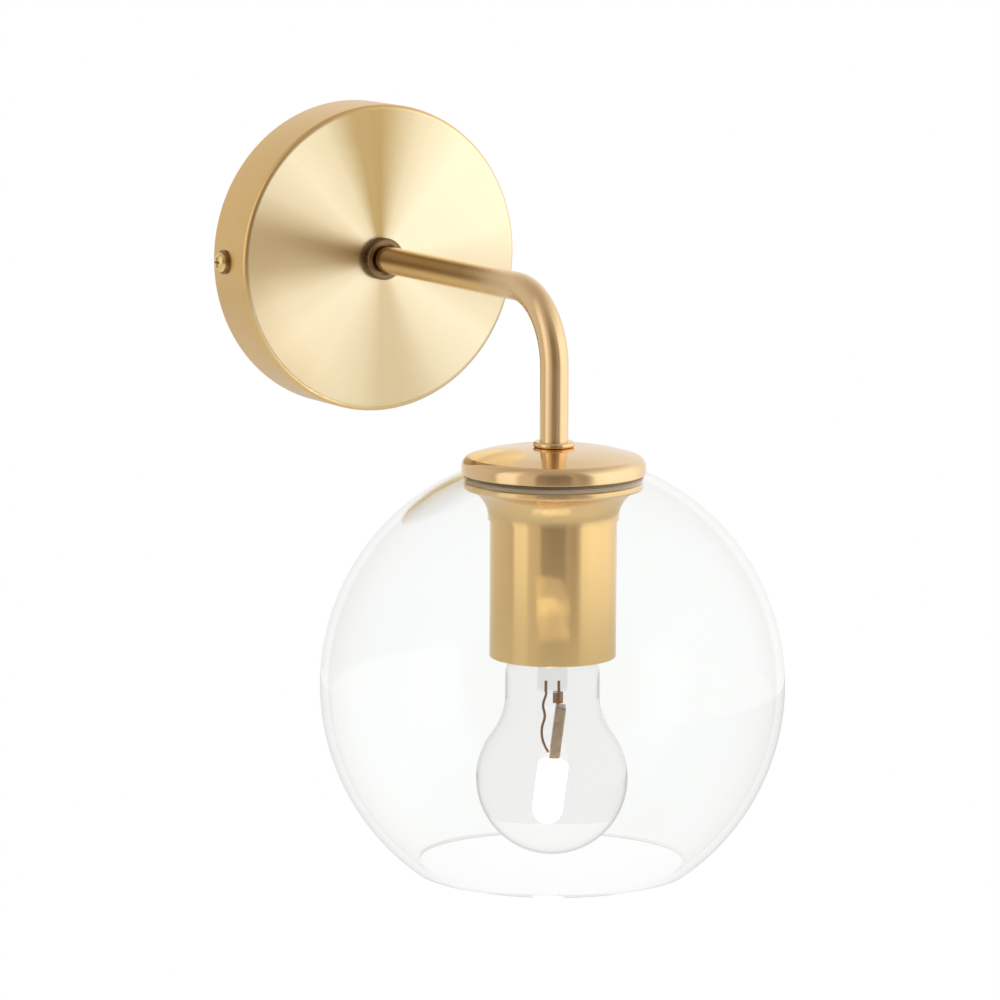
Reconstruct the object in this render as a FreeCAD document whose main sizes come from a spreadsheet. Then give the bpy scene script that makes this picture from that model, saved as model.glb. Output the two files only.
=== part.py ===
"""Globe wall sconce: canopy, bent arm, clear globe, socket cover and E27 lamp.

All lengths are millimetres. The wall is the plane y = 0, the light stands out along -Y and +Z is up.
The origin is the middle of the wall bracket, on the axis of the round canopy.
"""
import FreeCAD
import Part
import math
import os

import Sketcher
from FreeCAD import Placement, Rotation, Vector

# name, value, what it is
DIMENSIONS = (
    ("canopy_radius", 62.5, "outer radius of the round canopy"),
    ("canopy_depth", 27.0, "how far the canopy stands off the wall"),
    ("canopy_wall", 1.2, "sheet thickness of the canopy"),
    ("canopy_edge", 2.2, "outer rounding of the canopy's front edge"),
    ("side_screw_line", 9.5, "side screws' distance from the wall"),
    ("screw_hole_play", 0.25, "radial play of a screw in a plain hole"),
    ("thread_play", 0.05, "radial play of a thread that is drawn plain"),
    ("bracket_gauge", 1.5, "sheet thickness of the wall bracket"),
    ("strap_width", 22.0, "width of the bracket's strap"),
    ("ear_depth", 18.0, "how far the bracket's ears reach from the wall"),
    ("ear_gap", 0.3, "gap between an ear's corners and the canopy's inside"),
    ("ear_bend", 2.5, "outer bend radius at the ears"),
    ("plate_half_width", 25.0, "half width of the bracket's middle plate"),
    ("plate_low", 26.5, "middle plate's reach below the axis"),
    ("plate_high", 23.0, "middle plate's reach above the axis"),
    ("cable_hole", 7.0, "radius of the supply cable's hole"),
    ("slot_spacing", 80.0, "distance between the two wall screw slots"),
    ("slot_length", 12.0, "end to end length of a wall screw slot"),
    ("slot_radius", 2.5, "half width of a wall screw slot"),
    ("tab_low", 11.5, "lower edge of the earth tab"),
    ("tab_depth", 13.0, "earth tab's reach from the wall"),
    ("earth_height", 17.0, "earth screw's height above the axis"),
    ("earth_line", 8.0, "earth screw's distance from the wall"),
    ("side_screw_radius", 2.0, "M4 side screw, shank"),
    ("side_screw_length", 8.0, "M4 side screw, under the head"),
    ("pan_head", 4.0, "radius of the M4 pan head"),
    ("pan_height", 2.5, "height of the M4 pan head"),
    ("screw_washer", 4.9, "radius of the ring behind the M4 head"),
    ("washer_gauge", 0.8, "thickness of the washers"),
    ("earth_screw_length", 6.0, "M4 earth screw, under the head"),
    ("tag_radius", 3.7, "radius of the earth tag's eye"),
    ("tag_gauge", 0.8, "thickness of the earth tag"),
    ("tag_barrel", 1.9, "outer radius of the earth tag's crimp barrel"),
    ("tag_barrel_length", 5.0, "length of the crimp barrel"),
    ("pole_pitch", 9.0, "distance between the terminal block's poles"),
    ("block_margin", 4.5, "terminal block's end beyond an outer pole"),
    ("block_top", 10.0, "terminal block's upper face below the axis"),
    ("block_tall", 15.0, "terminal block's height"),
    ("block_deep", 14.0, "terminal block's depth off the plate"),
    ("pole_line", 7.0, "pole tubes' distance off the plate"),
    ("pole_outer", 2.5, "outer radius of a pole tube"),
    ("pole_bore", 1.5, "inner radius of a pole tube"),
    ("pole_fit", 0.05, "gap round a pole tube"),
    ("pole_setback", 1.0, "pole tube's end inside the block's face"),
    ("pole_screw_offset", 3.8, "pole screws above and below the block's middle"),
    ("small_screw", 1.3, "shank radius of the small terminal screws"),
    ("block_screw", 1.4, "shank radius of the block's fixing screw"),
    ("tube_radius", 5.5, "outer radius of the arm tube"),
    ("tube_bore", 3.5, "bore radius of the arm tube"),
    ("arm_reach", 166.0, "wall to the globe's axis"),
    ("arm_bend", 29.0, "bend radius of the arm's centre line"),
    ("nipple_radius", 4.0, "outer radius of the M8 x 1 hollow rods"),
    ("nipple_bore", 3.0, "bore radius of the hollow rods"),
    ("nipple_engagement", 10.0, "hollow rod's length inside the arm"),
    ("nipple_end_room", 0.6, "room past the rod's end in the arm"),
    ("nipple_tail", 3.0, "hollow rod's length past the canopy nut"),
    ("ring_radius", 8.5, "radius of the knurled lock ring"),
    ("ring_depth", 4.2, "depth of the knurled lock ring"),
    ("ring_recess", 6.3, "radius of the lock ring's recess"),
    ("ring_recess_depth", 2.4, "depth of the lock ring's recess"),
    ("ring_chamfer", 0.6, "chamfer on the lock ring"),
    ("knurl_depth", 0.5, "depth of a knurl groove"),
    ("nut_radius", 7.2, "hexagon nuts, centre to corner"),
    ("nut_height", 3.5, "height of the hexagon nuts"),
    ("lock_washer", 6.8, "outer radius of the washers under the nuts"),
    ("globe_drop", 152.0, "arm axis down to the globe's centre"),
    ("globe_radius", 90.0, "outer radius of the glass globe"),
    ("globe_wall", 3.0, "thickness of the glass"),
    ("globe_hole", 23.4, "radius of the hole at the top of the glass"),
    ("globe_opening", 54.0, "outer radius of the open bottom"),
    ("globe_lip", 1.6, "rounding radius of the glass's lower rim"),
    ("cap_radius", 35.6, "outer radius of the cap"),
    ("cap_wall", 1.2, "sheet thickness of the cap"),
    ("cap_height", 9.6, "cap's height above its seat on the glass"),
    ("cap_flat", 8.6, "radius of the flat in the middle of the cap"),
    ("cap_dome_edge", 32.3, "radius where the cap's dome ends"),
    ("cap_dome_fall", 3.5, "how far the dome falls from middle to edge"),
    ("cap_corner", 4.1, "rounding radius of the cap's corner"),
    ("cap_corner_fall", 7.2, "where the cap's straight side starts, below its top"),
    ("seat_gap", 0.15, "gap between the cap and the glass"),
    ("collar_radius", 8.1, "radius of the bead between arm and cap"),
    ("collar_height", 2.2, "height of the bead"),
    ("collar_round", 1.0, "edge rounding of the bead"),
    ("flange_radius", 34.4, "radius of the flange's lip"),
    ("flange_lip", 2.6, "thickness of the flange's lip"),
    ("flange_lip_round", 0.9, "edge rounding of the flange's lip"),
    ("flange_height", 12.9, "flange's height from floor to lip top"),
    ("flange_wall", 1.2, "sheet thickness of the flange"),
    ("flange_foot", 25.3, "radius of the flange's foot"),
    ("flange_foot_drop", 0.9, "how far the foot laps over the socket cover"),
    ("flange_turn_in", 1.8, "lip's reach past the end of the flare"),
    ("flare_radius", 10.8, "radius of the flare's curve"),
    ("gasket_edge", 1.4, "glass gasket's thickness at its outer edge"),
    ("gasket_inset", 0.4, "glass gasket's edge inside the lip's edge"),
    ("gasket_width", 2.6, "width of the glass gasket"),
    ("gasket_gap", 0.1, "gap between the gasket and the glass"),
    ("sleeve_radius", 22.7, "outer radius of the centring sleeve"),
    ("sleeve_wall", 2.0, "wall of the centring sleeve"),
    ("cover_radius", 24.5, "outer radius of the socket cover"),
    ("cover_wall", 1.0, "wall of the socket cover"),
    ("cover_floor", 1.2, "thickness of the cover's closed end"),
    ("cover_length", 54.5, "length of the socket cover"),
    ("cover_edge", 0.4, "edge rounding of the socket cover"),
    ("holder_radius", 19.5, "outer radius of the lampholder"),
    ("holder_wall", 2.0, "wall of the lampholder's skirt"),
    ("holder_setback", 1.7, "lampholder's end inside the socket cover"),
    ("boss_radius", 9.0, "radius of the lampholder's entry boss"),
    ("boss_height", 3.3, "height of the entry boss"),
    ("dome_height", 11.3, "lampholder's dome, from joint to boss top"),
    ("dome_ceiling", 4.8, "boss top down to the ceiling inside"),
    ("dome_curve", 5.0, "inner rounding of the dome"),
    ("spigot_wall", 1.5, "wall of the dome's spigot"),
    ("insert_top", 16.8, "boss top down to the insert's upper face"),
    ("insert_height", 4.5, "thickness of the insert"),
    ("ledge_height", 2.0, "height of the ledge that carries the insert"),
    ("ledge_width", 2.3, "width of the ledge"),
    ("skirt_lip", 2.9, "width of the skirt's inward lip"),
    ("skirt_lip_height", 1.2, "height of the skirt's inward lip"),
    ("contact_room", 1.5, "insert's lower face down to the lamp's tip"),
    ("contact_gauge", 0.5, "thickness of the centre contact"),
    ("contact_width", 5.0, "width of the centre contact"),
    ("contact_air", 0.3, "gap between centre contact and lamp tip"),
    ("live_offset", 9.5, "live terminal's distance from the lamp axis"),
    ("neutral_offset", 11.5, "neutral terminal's distance from the lamp axis"),
    ("terminal_side", 6.0, "side of a lampholder terminal"),
    ("terminal_height", 5.0, "height of a lampholder terminal"),
    ("rivet_radius", 0.8, "radius of the rivets through the insert"),
    ("thread_pitch", 3.629, "E27 pitch"),
    ("thread_depth", 1.1, "E27 thread depth"),
    ("lamp_core", 12.0, "E27 cap, radius at the root of its thread"),
    ("lamp_shell_wall", 0.5, "wall of the lamp's screw shell"),
    ("socket_play", 0.33, "radial play of the lamp in the screw shell"),
    ("holder_shell_wall", 0.5, "wall of the lampholder's screw shell"),
    ("holder_shell_length", 23.6, "length of the lampholder's screw shell"),
    ("lamp_shell_end", 26.7, "lamp's tip down to the end of its screw shell"),
    ("lamp_skirt", 13.1, "radius of the plain end of the screw shell"),
    ("lamp_skirt_height", 4.0, "height of that plain end"),
    ("shell_top", 3.6, "lamp's tip down to the screw shell"),
    ("contact_radius", 4.5, "radius of the lamp's contact button"),
    ("contact_height", 0.8, "height of the lamp's contact button"),
    ("insulator_radius", 8.7, "radius of the lamp's insulator"),
    ("lamp_length", 104.2, "whole length of the lamp"),
    ("bulb_radius", 29.5, "radius of the bulb"),
    ("bulb_wall", 0.8, "wall of the bulb"),
    ("bulb_neck", 18.3, "radius of the bulb's neck"),
    ("bulb_hollow", 25.0, "radius of the curve between neck and ball"),
    ("bulb_collar", 12.5, "radius of the glass inside the screw shell"),
    ("bulb_collar_gap", 0.1, "gap between the screw shell's end and the bulb's shoulder"),
    ("stem_radius", 5.8, "radius of the glass stem"),
    ("stem_wall", 0.9, "wall of the glass stem"),
    ("stem_end", 39.7, "lamp's tip down to the stem's end"),
    ("lead_radius", 0.5, "radius of the lead wires"),
    ("lead_offset", 2.2, "lead wires' distance from the lamp's axis at the stem"),
    ("lead_top", 36.0, "lamp's tip down to the upper end of the lead wires"),
    ("lead_sleeve", 2.0, "radius of the sleeve on the inner lead wire"),
    ("lead_sleeve_length", 4.5, "length of that sleeve"),
    ("pinch_top", 46.0, "lamp's tip down to the capsule's pinch"),
    ("pinch_height", 22.0, "height of the pinch"),
    ("pinch_width", 9.5, "width of the pinch"),
    ("pinch_thickness", 4.0, "thickness of the pinch"),
    ("capsule_radius", 5.8, "outer radius of the capsule"),
    ("capsule_wall", 1.0, "wall of the capsule"),
    ("capsule_end", 93.0, "lamp's tip down to the capsule's end"),
    ("capsule_offset", 3.4, "pinch's distance from the lamp's axis at its top"),
    ("capsule_lean", 7.0, "capsule's lean off the lamp's axis in degrees"),
    ("capsule_turn", -30.0, "capsule's turn about the lamp's axis in degrees"),
    ("filament_radius", 0.9, "radius of the filament coil"),
    ("filament_length", 12.0, "length of the filament coil"),
    ("filament_drop", 4.0, "pinch's end down to the filament coil"),
    ("filament_leg", 0.3, "radius of the filament's legs"),
    ("filament_leg_offset", 2.8, "outer leg's distance from the capsule's axis"),
    ("wire_radius", 1.1, "outer radius of the insulated wires"),
    ("core_radius", 0.5, "radius of a wire's bare end"),
    ("wire_offset", 1.25, "wires' distance from the arm's centre line"),
    ("wire_strip", 3.3, "bare length at a wire's end"),
    ("pole_insulation", 1.0, "insulation's length inside a pole tube"),
    ("pole_core", 9.0, "wire's length inside a pole tube"),
    ("wire_rise", 5.0, "wires' turn above the terminal block"),
    ("wire_gather", 14.0, "where the wires come together, off the wall"),
    ("wire_fan", 1.9, "lower rod's end down to where the wires part"),
    ("wire_drop", 2.2, "wires' turn above the lampholder's terminals"),
)

KNURL_COUNT = 54
RUN_SHARE = 0.45
END_RUN_SHARE = 0.65
# the crimped lead's bends: share of its free height, and distance off its own line
CRIMP = ((0.06, 0.0), (0.24, -1.7), (0.42, -0.4), (0.62, -2.0), (0.82, -1.6))
WALL_TURN = Rotation(Vector(1, 0, 0), 90)


class Size:
    """A length with its number and the sheet formula that gives it."""

    def __init__(self, value, formula):
        self.value = float(value)
        self.formula = formula

    def __add__(self, other):
        other = as_size(other)
        return Size(self.value + other.value, f"({self.formula} + {other.formula})")

    def __radd__(self, other):
        return as_size(other) + self

    def __sub__(self, other):
        other = as_size(other)
        return Size(self.value - other.value, f"({self.formula} - {other.formula})")

    def __rsub__(self, other):
        return as_size(other) - self

    def __mul__(self, other):
        other = as_size(other)
        return Size(self.value * other.value, f"({self.formula} * {other.formula})")

    def __rmul__(self, other):
        return as_size(other) * self

    def __truediv__(self, other):
        other = as_size(other)
        return Size(self.value / other.value, f"({self.formula} / {other.formula})")

    def __neg__(self):
        return Size(-self.value, f"(-{self.formula})")

    def __float__(self):
        return self.value


def as_size(number):
    """Give a plain number the same form as a sheet value."""
    if isinstance(number, Size):
        return number
    return Size(number, repr(float(number)))


def root(size):
    """Square root of a Size."""
    return Size(math.sqrt(size.value), f"sqrt({size.formula})")


def leg(hypotenuse, side):
    """The other short side of a right-angled triangle."""
    return root(hypotenuse * hypotenuse - side * side)


class Sizes:
    """The driving dimensions, held in a sheet and read by name."""

    def __init__(self, document):
        sheet = document.addObject("Spreadsheet::Sheet", "Sizes")
        for row, (name, value, meaning) in enumerate(DIMENSIONS, start=1):
            sheet.set(f"A{row}", name)
            sheet.set(f"B{row}", str(value))
            sheet.set(f"C{row}", meaning)
            sheet.setAlias(f"B{row}", name)
        document.recompute()
        for name, _value, _meaning in DIMENSIONS:
            setattr(self, name, Size(getattr(sheet, name), f"Sizes.{name}"))


# ---------------------------------------------------------------- drawing helpers

def origin_plane(body, role):
    """One of a body's own origin planes."""
    return next(item for item in body.Origin.OriginFeatures if item.Role == role)


def new_body(document, label):
    """An empty body with the node's name."""
    body = document.addObject("PartDesign::Body", label)
    body.Label = label
    return body


def new_sketch(body, name, role="XZ_Plane", height=None):
    """A sketch on one of the body's origin planes, lifted along the plane's normal by height."""
    sketch = body.newObject("Sketcher::SketchObject", f"{body.Name}_{name}")
    sketch.AttachmentSupport = [(origin_plane(body, role), "")]
    sketch.MapMode = "FlatFace"
    if height is not None:
        sketch.AttachmentOffset = Placement(Vector(0, 0, float(height)), Rotation())
        sketch.setExpression("AttachmentOffset.Base.z", as_size(height).formula)
    return sketch


def bind(sketch, constraint, size):
    """Add a dimension to the sketch and tie it to the sheet."""
    index = sketch.addConstraint(constraint)
    sketch.setExpression(f"Constraints[{index}]", size.formula)


def pin_coordinate(sketch, direction, axis, geometry, point, size):
    """Hold one coordinate of a sketch point at a signed distance from the origin."""
    if size.value == 0:
        sketch.addConstraint(Sketcher.Constraint("PointOnObject", geometry, point, axis))
    elif size.value > 0:
        bind(sketch, Sketcher.Constraint(direction, -1, 1, geometry, point, size.value), size)
    else:
        bind(sketch, Sketcher.Constraint(direction, geometry, point, -1, 1, -size.value), -size)


def pin_point(sketch, geometry, point, across, along):
    """Hold a sketch point at its place."""
    pin_coordinate(sketch, "DistanceX", -2, geometry, point, as_size(across))
    pin_coordinate(sketch, "DistanceY", -1, geometry, point, as_size(along))


def arc_centre(start, end, radius):
    """Centre of the short arc from start to end, which turns left when radius is positive."""
    chord = end - start
    half = chord.Length / 2
    height = math.sqrt(max(radius * radius - half * half, 0))
    left = Vector(-chord.y, chord.x, 0).normalize()
    return start + chord * 0.5 + left * math.copysign(height, radius)


def add_arc(sketch, start, end, radius):
    """Draw one arc and return (geometry, start point, end point)."""
    centre = arc_centre(start, end, radius.value)
    first, last = (start, end) if radius.value > 0 else (end, start)
    angles = [math.atan2(spot.y - centre.y, spot.x - centre.x) for spot in (first, last)]
    circle = Part.Circle(centre, Vector(0, 0, 1), abs(radius.value))
    geometry = sketch.addGeometry(Part.ArcOfCircle(circle, angles[0], angles[1]), False)
    size = radius if radius.value > 0 else -radius
    bind(sketch, Sketcher.Constraint("Radius", geometry, size.value), size)
    return (geometry, 1, 2) if radius.value > 0 else (geometry, 2, 1)


def draw_outline(sketch, outline, closed=True):
    """Draw points (across, along) or (across, along, radius), joined in order.

    A radius makes the edge that arrives at its point an arc: positive turns left, negative right.
    """
    spots = [Vector(float(step[0]), float(step[1]), 0) for step in outline]
    count = len(spots) if closed else len(spots) - 1
    edges = []
    for index in range(count):
        step = outline[(index + 1) % len(spots)]
        start = spots[index]
        end = spots[(index + 1) % len(spots)]
        if len(step) > 2:
            edges.append(add_arc(sketch, start, end, as_size(step[2])))
        else:
            edges.append((sketch.addGeometry(Part.LineSegment(start, end), False), 1, 2))
    for index, (geometry, first, last) in enumerate(edges):
        pin_point(sketch, geometry, first, outline[index][0], outline[index][1])
        if closed or index + 1 < count:
            neighbour, start, _end = edges[(index + 1) % count]
            sketch.addConstraint(Sketcher.Constraint("Coincident", geometry, last, neighbour, start))
        else:
            pin_point(sketch, geometry, last, outline[-1][0], outline[-1][1])
    return sketch


def draw_circle(sketch, across, along, radius):
    """Draw one circle."""
    centre = Vector(float(across), float(along), 0)
    circle = sketch.addGeometry(Part.Circle(centre, Vector(0, 0, 1), float(radius)), False)
    pin_point(sketch, circle, 3, across, along)
    bind(sketch, Sketcher.Constraint("Radius", circle, float(radius)), as_size(radius))
    return sketch


def slot_outline(across, along, half_straight, radius):
    """Outline of a slot that runs along the sketch's first axis."""
    left = across - half_straight
    right = across + half_straight
    return [
        (left, along - radius, radius), (right, along - radius),
        (right + radius, along, radius), (right, along + radius, radius),
        (left, along + radius), (left - radius, along, radius),
    ]


def rectangle(left, low, right, high):
    """The outline of an upright rectangle."""
    return [(left, low), (right, low), (right, high), (left, high)]


def lathe(body, outline):
    """Turn an outline of (radius, height) points round the body's Z axis."""
    sketch = draw_outline(new_sketch(body, "Outline"), outline)
    turned = body.newObject("PartDesign::Revolution", f"{body.Name}_Turned")
    turned.Profile = sketch
    turned.ReferenceAxis = (sketch, ["V_Axis"])
    turned.Angle = 360
    return turned


def pad(body, sketch, length, middle=False, name="Pad"):
    """Thicken a sketch, to one side or evenly to both."""
    feature = body.newObject("PartDesign::Pad", f"{body.Name}_{name}")
    feature.Profile = sketch
    feature.Length = float(length)
    feature.setExpression("Length", as_size(length).formula)
    feature.Midplane = middle
    return feature


def pocket(body, sketch, length, middle=False, name="Pocket", backwards=False):
    """Cut a sketch into the body, to one side or evenly to both."""
    feature = body.newObject("PartDesign::Pocket", f"{body.Name}_{name}")
    feature.Profile = sketch
    feature.Length = float(length)
    feature.setExpression("Length", as_size(length).formula)
    feature.Midplane = middle
    feature.Reversed = backwards
    return feature


def place(item, across=0.0, outward=0.0, up=0.0, rotation=None):
    """Put an object at a point of the room: across is X, outward is -Y and up is Z."""
    across, outward, up = as_size(across), as_size(outward), as_size(up)
    spot = Vector(across.value, -outward.value, up.value)
    item.Placement = Placement(spot, rotation or Rotation())
    item.setExpression("Placement.Base.x", across.formula)
    item.setExpression("Placement.Base.y", (-outward).formula)
    item.setExpression("Placement.Base.z", up.formula)
    return item


def group(document, label, items):
    """One node of several equal pieces."""
    compound = document.addObject("Part::Compound", label)
    compound.Label = label
    compound.Links = items
    return compound


def ring(document, label, outer, inner, low, high):
    """A plain ring about Z."""
    body = new_body(document, label)
    lathe(body, rectangle(inner, low, outer, high))
    return body


def hexagon_nut(document, label, corner, bore, height):
    """A hexagon nut on Z, with its lower face at zero."""
    prism = document.addObject("Part::Prism", f"{label}_prism")
    prism.Polygon = 6
    prism.setExpression("Circumradius", corner.formula)
    prism.setExpression("Height", height.formula)
    hole = document.addObject("Part::Cylinder", f"{label}_hole")
    hole.setExpression("Radius", bore.formula)
    hole.setExpression("Height", (height * 2).formula)
    hole.setExpression("Placement.Base.z", (-height / 2).formula)
    nut = document.addObject("Part::Cut", label)
    nut.Label = label
    nut.Base = prism
    nut.Tool = hole
    return nut


def cross_outline(reach, half_width):
    """Outline of a cross recess."""
    return [
        (half_width, -reach), (half_width, -half_width), (reach, -half_width), (reach, half_width),
        (half_width, half_width), (half_width, reach), (-half_width, reach), (-half_width, half_width),
        (-reach, half_width), (-reach, -half_width), (-half_width, -half_width), (-half_width, -reach),
    ]


def pan_screw(document, name, shank, length, head, height):
    """A pan-head screw on Z: its head stands up from zero and its shank hangs down."""
    body = new_body(document, name)
    lathe(body, [
        (0.0, -length), (shank * 0.8, -length), (shank, -length + shank * 0.3), (shank, 0.0),
        (head, 0.0), (head, height * 0.35), (head * 0.62, height, head * 0.62), (0.0, height),
    ])
    recess = draw_outline(new_sketch(body, "Cross", "XY_Plane", height), cross_outline(head * 0.52, head * 0.11))
    pocket(body, recess, height * 0.55, name="Recess")
    return body


def slotted_screw(document, name, shank, length):
    """A headless slotted screw on Z, with its slot at zero."""
    body = new_body(document, name)
    lathe(body, rectangle(0.0, -length, shank, 0.0))
    slot = draw_outline(new_sketch(body, "Slot", "XY_Plane"),
                        rectangle(-shank * 1.2, -shank * 0.16, shank * 1.2, shank * 0.16))
    pocket(body, slot, shank * 0.6, name="Slotted")
    return body


def rounded_path(points, radii):
    """Straight runs joined by tangent arcs, one radius for each inner point."""
    edges = []
    start = points[0]
    for before, corner, after, radius in zip(points, points[1:], points[2:], radii):
        back = (before - corner).normalize()
        onward = (after - corner).normalize()
        half_turn = (math.pi - back.getAngle(onward)) / 2
        cut = radius * math.tan(half_turn)
        inward = (back + onward).normalize()
        middle = corner + inward * (radius / math.cos(half_turn) - radius)
        entry = corner + back * cut
        leave = corner + onward * cut
        edges.append(Part.LineSegment(start, entry).toShape())
        edges.append(Part.Arc(entry, middle, leave).toShape())
        start = leave
    edges.append(Part.LineSegment(start, points[-1]).toShape())
    return Part.Wire(edges)


def corner_radii(points, given=None):
    """The largest arc that the runs allow at each inner point, unless one is given for it."""
    radii = []
    last_run = len(points) - 2
    for index, (before, corner, after) in enumerate(zip(points, points[1:], points[2:])):
        back = before - corner
        onward = after - corner
        half_turn = (math.pi - back.getAngle(onward)) / 2
        room_back = back.Length * (END_RUN_SHARE if index == 0 else RUN_SHARE)
        room_onward = onward.Length * (END_RUN_SHARE if index + 1 == last_run else RUN_SHARE)
        radius = min(room_back, room_onward) / math.tan(half_turn)
        radii.append((given or {}).get(index + 1, radius))
    return radii


def tube_along(path, radius):
    """A round solid swept along a path."""
    edge = path.Edges[0]
    start = edge.valueAt(edge.FirstParameter)
    heading = edge.tangentAt(edge.FirstParameter)
    profile = Part.Wire([Part.Circle(start, heading, radius).toShape()])
    return path.makePipeShell([profile], True, False)


def shape_feature(document, label, shape, placement=None):
    """A node whose shape is worked out here."""
    feature = document.addObject("Part::Feature", label)
    feature.Label = label
    feature.Shape = shape
    if placement is not None:
        feature.Placement = placement
    return feature


def thread_ridge(root_radius, crest_radius, pitch, low, high):
    """A round-crested right-hand helical ridge from low to high, sunk a little into its wall."""
    half_width = 0.26 * pitch
    foot = root_radius + math.copysign(0.25, root_radius - crest_radius)
    helix = Part.makeHelix(pitch, high - low, root_radius)
    crest = Part.Arc(Vector(foot, 0, -half_width), Vector(crest_radius, 0, 0), Vector(foot, 0, half_width))
    base = Part.LineSegment(Vector(foot, 0, half_width), Vector(foot, 0, -half_width))
    ridge = helix.makePipeShell([Part.Wire([crest.toShape(), base.toShape()])], True, True)
    ridge.translate(Vector(0, 0, low))
    return ridge


def turned_shape(outline):
    """A solid turned round Z from straight-sided (radius, height) points."""
    corners = [Vector(float(radius), 0, float(height)) for radius, height in outline]
    wire = Part.makePolygon(corners + corners[:1])
    return Part.Face(wire).revolve(Vector(), Vector(0, 0, 1), 360)


# ---------------------------------------------------------------- derived heights

class Stack:
    """Heights above the globe's centre, worked out from what seats on what."""

    def __init__(self, s):
        self.inner_globe = s.globe_radius - s.globe_wall
        self.cap_seat_radius = s.cap_radius - s.cap_wall
        self.cap_seat = leg(s.globe_radius, self.cap_seat_radius) + s.seat_gap
        self.cap_rim = leg(s.globe_radius, s.cap_radius) + s.seat_gap
        self.cap_top = self.cap_seat + s.cap_height
        self.arm_end = self.cap_top + s.collar_height
        self.gasket_outer = s.flange_radius - s.gasket_inset
        self.gasket_inner = self.gasket_outer - s.gasket_width
        self.lip_top = leg(self.inner_globe, self.gasket_outer) - s.gasket_gap - s.gasket_edge
        self.flange_floor = self.lip_top - s.flange_height
        self.cover_end = self.flange_floor - s.cover_length
        self.washer_low = self.flange_floor - s.cover_floor - s.washer_gauge
        self.holder_top = self.washer_low - s.nut_height
        self.insert_low = -s.insert_top - s.insert_height
        self.lamp_tip = self.holder_top + self.insert_low - s.contact_room
        self.nut_back = s.canopy_depth - s.canopy_wall - s.washer_gauge - s.nut_height
        self.arm_start = s.canopy_depth + s.ring_depth - s.ring_recess_depth
        self.rod_hole = s.nipple_radius + s.thread_play


# ---------------------------------------------------------------- the wall side

def make_wall_bracket(document, s, h):
    """Steel strap with two bent ears, a middle plate, wall slots and an earth tab."""
    body = new_body(document, "wall_bracket")
    gauge = s.bracket_gauge
    ear = leg(s.canopy_radius - s.canopy_wall, s.strap_width / 2) - s.ear_gap
    inner_bend = s.ear_bend - gauge
    profile = [
        (-ear, s.ear_depth), (-ear, s.ear_bend), (-ear + s.ear_bend, 0.0, s.ear_bend),
        (ear - s.ear_bend, 0.0), (ear, s.ear_bend, s.ear_bend), (ear, s.ear_depth),
        (ear - gauge, s.ear_depth), (ear - gauge, s.ear_bend), (ear - s.ear_bend, gauge, -inner_bend),
        (-ear + s.ear_bend, gauge), (-ear + gauge, s.ear_bend, -inner_bend), (-ear + gauge, s.ear_depth),
    ]
    pad(body, draw_outline(new_sketch(body, "Strap"), profile), s.strap_width, middle=True, name="StrapPad")
    plate = rectangle(-s.plate_half_width, -s.plate_low, s.plate_half_width, s.plate_high)
    pad(body, draw_outline(new_sketch(body, "Plate", "XY_Plane"), plate), gauge, name="PlatePad")
    tab = rectangle(s.plate_half_width - gauge, s.tab_low, s.plate_half_width, s.plate_high)
    pad(body, draw_outline(new_sketch(body, "Tab", "XY_Plane"), tab), s.tab_depth, name="TabPad")
    flat_holes = new_sketch(body, "FlatHoles", "XY_Plane")
    draw_circle(flat_holes, 0.0, 0.0, s.cable_hole)
    draw_circle(flat_holes, s.pole_pitch / 2, -s.block_top - s.block_tall / 2, s.block_screw + s.thread_play)
    for side in (-1, 1):
        slot = slot_outline(s.slot_spacing * side / 2, as_size(0.0), s.slot_length / 2 - s.slot_radius, s.slot_radius)
        draw_outline(flat_holes, slot)
    pocket(body, flat_holes, gauge * 4, middle=True, name="FlatCuts")
    ear_holes = draw_circle(new_sketch(body, "EarHoles", "YZ_Plane"), 0.0, s.side_screw_line,
                            s.side_screw_radius + s.thread_play)
    pocket(body, ear_holes, s.canopy_radius * 2, middle=True, name="EarCuts")
    tab_hole = draw_circle(new_sketch(body, "TabHole", "YZ_Plane"), s.earth_height, s.earth_line,
                           s.side_screw_radius + s.thread_play)
    pocket(body, tab_hole, s.canopy_radius * 2, middle=True, name="TabCut")
    return place(body, rotation=WALL_TURN)


def make_canopy(document, s, h):
    """Spun cup that hides the bracket, with a rod hole in front and a screw hole on each side."""
    body = new_body(document, "canopy")
    outer = s.canopy_radius
    inner = outer - s.canopy_wall
    front = s.canopy_depth
    back = front - s.canopy_wall
    inner_edge = s.canopy_edge - s.canopy_wall
    hole = s.nipple_radius + s.screw_hole_play
    lathe(body, [
        (inner, 0.0), (outer, 0.0), (outer, front - s.canopy_edge),
        (outer - s.canopy_edge, front, s.canopy_edge), (hole, front), (hole, back),
        (inner - inner_edge, back), (inner, back - inner_edge, -inner_edge),
    ])
    holes = draw_circle(new_sketch(body, "SideHoles", "YZ_Plane"), 0.0, s.side_screw_line,
                        s.side_screw_radius + s.screw_hole_play)
    pocket(body, holes, outer * 2.2, middle=True, name="SideCuts")
    return place(body, rotation=WALL_TURN)


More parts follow.
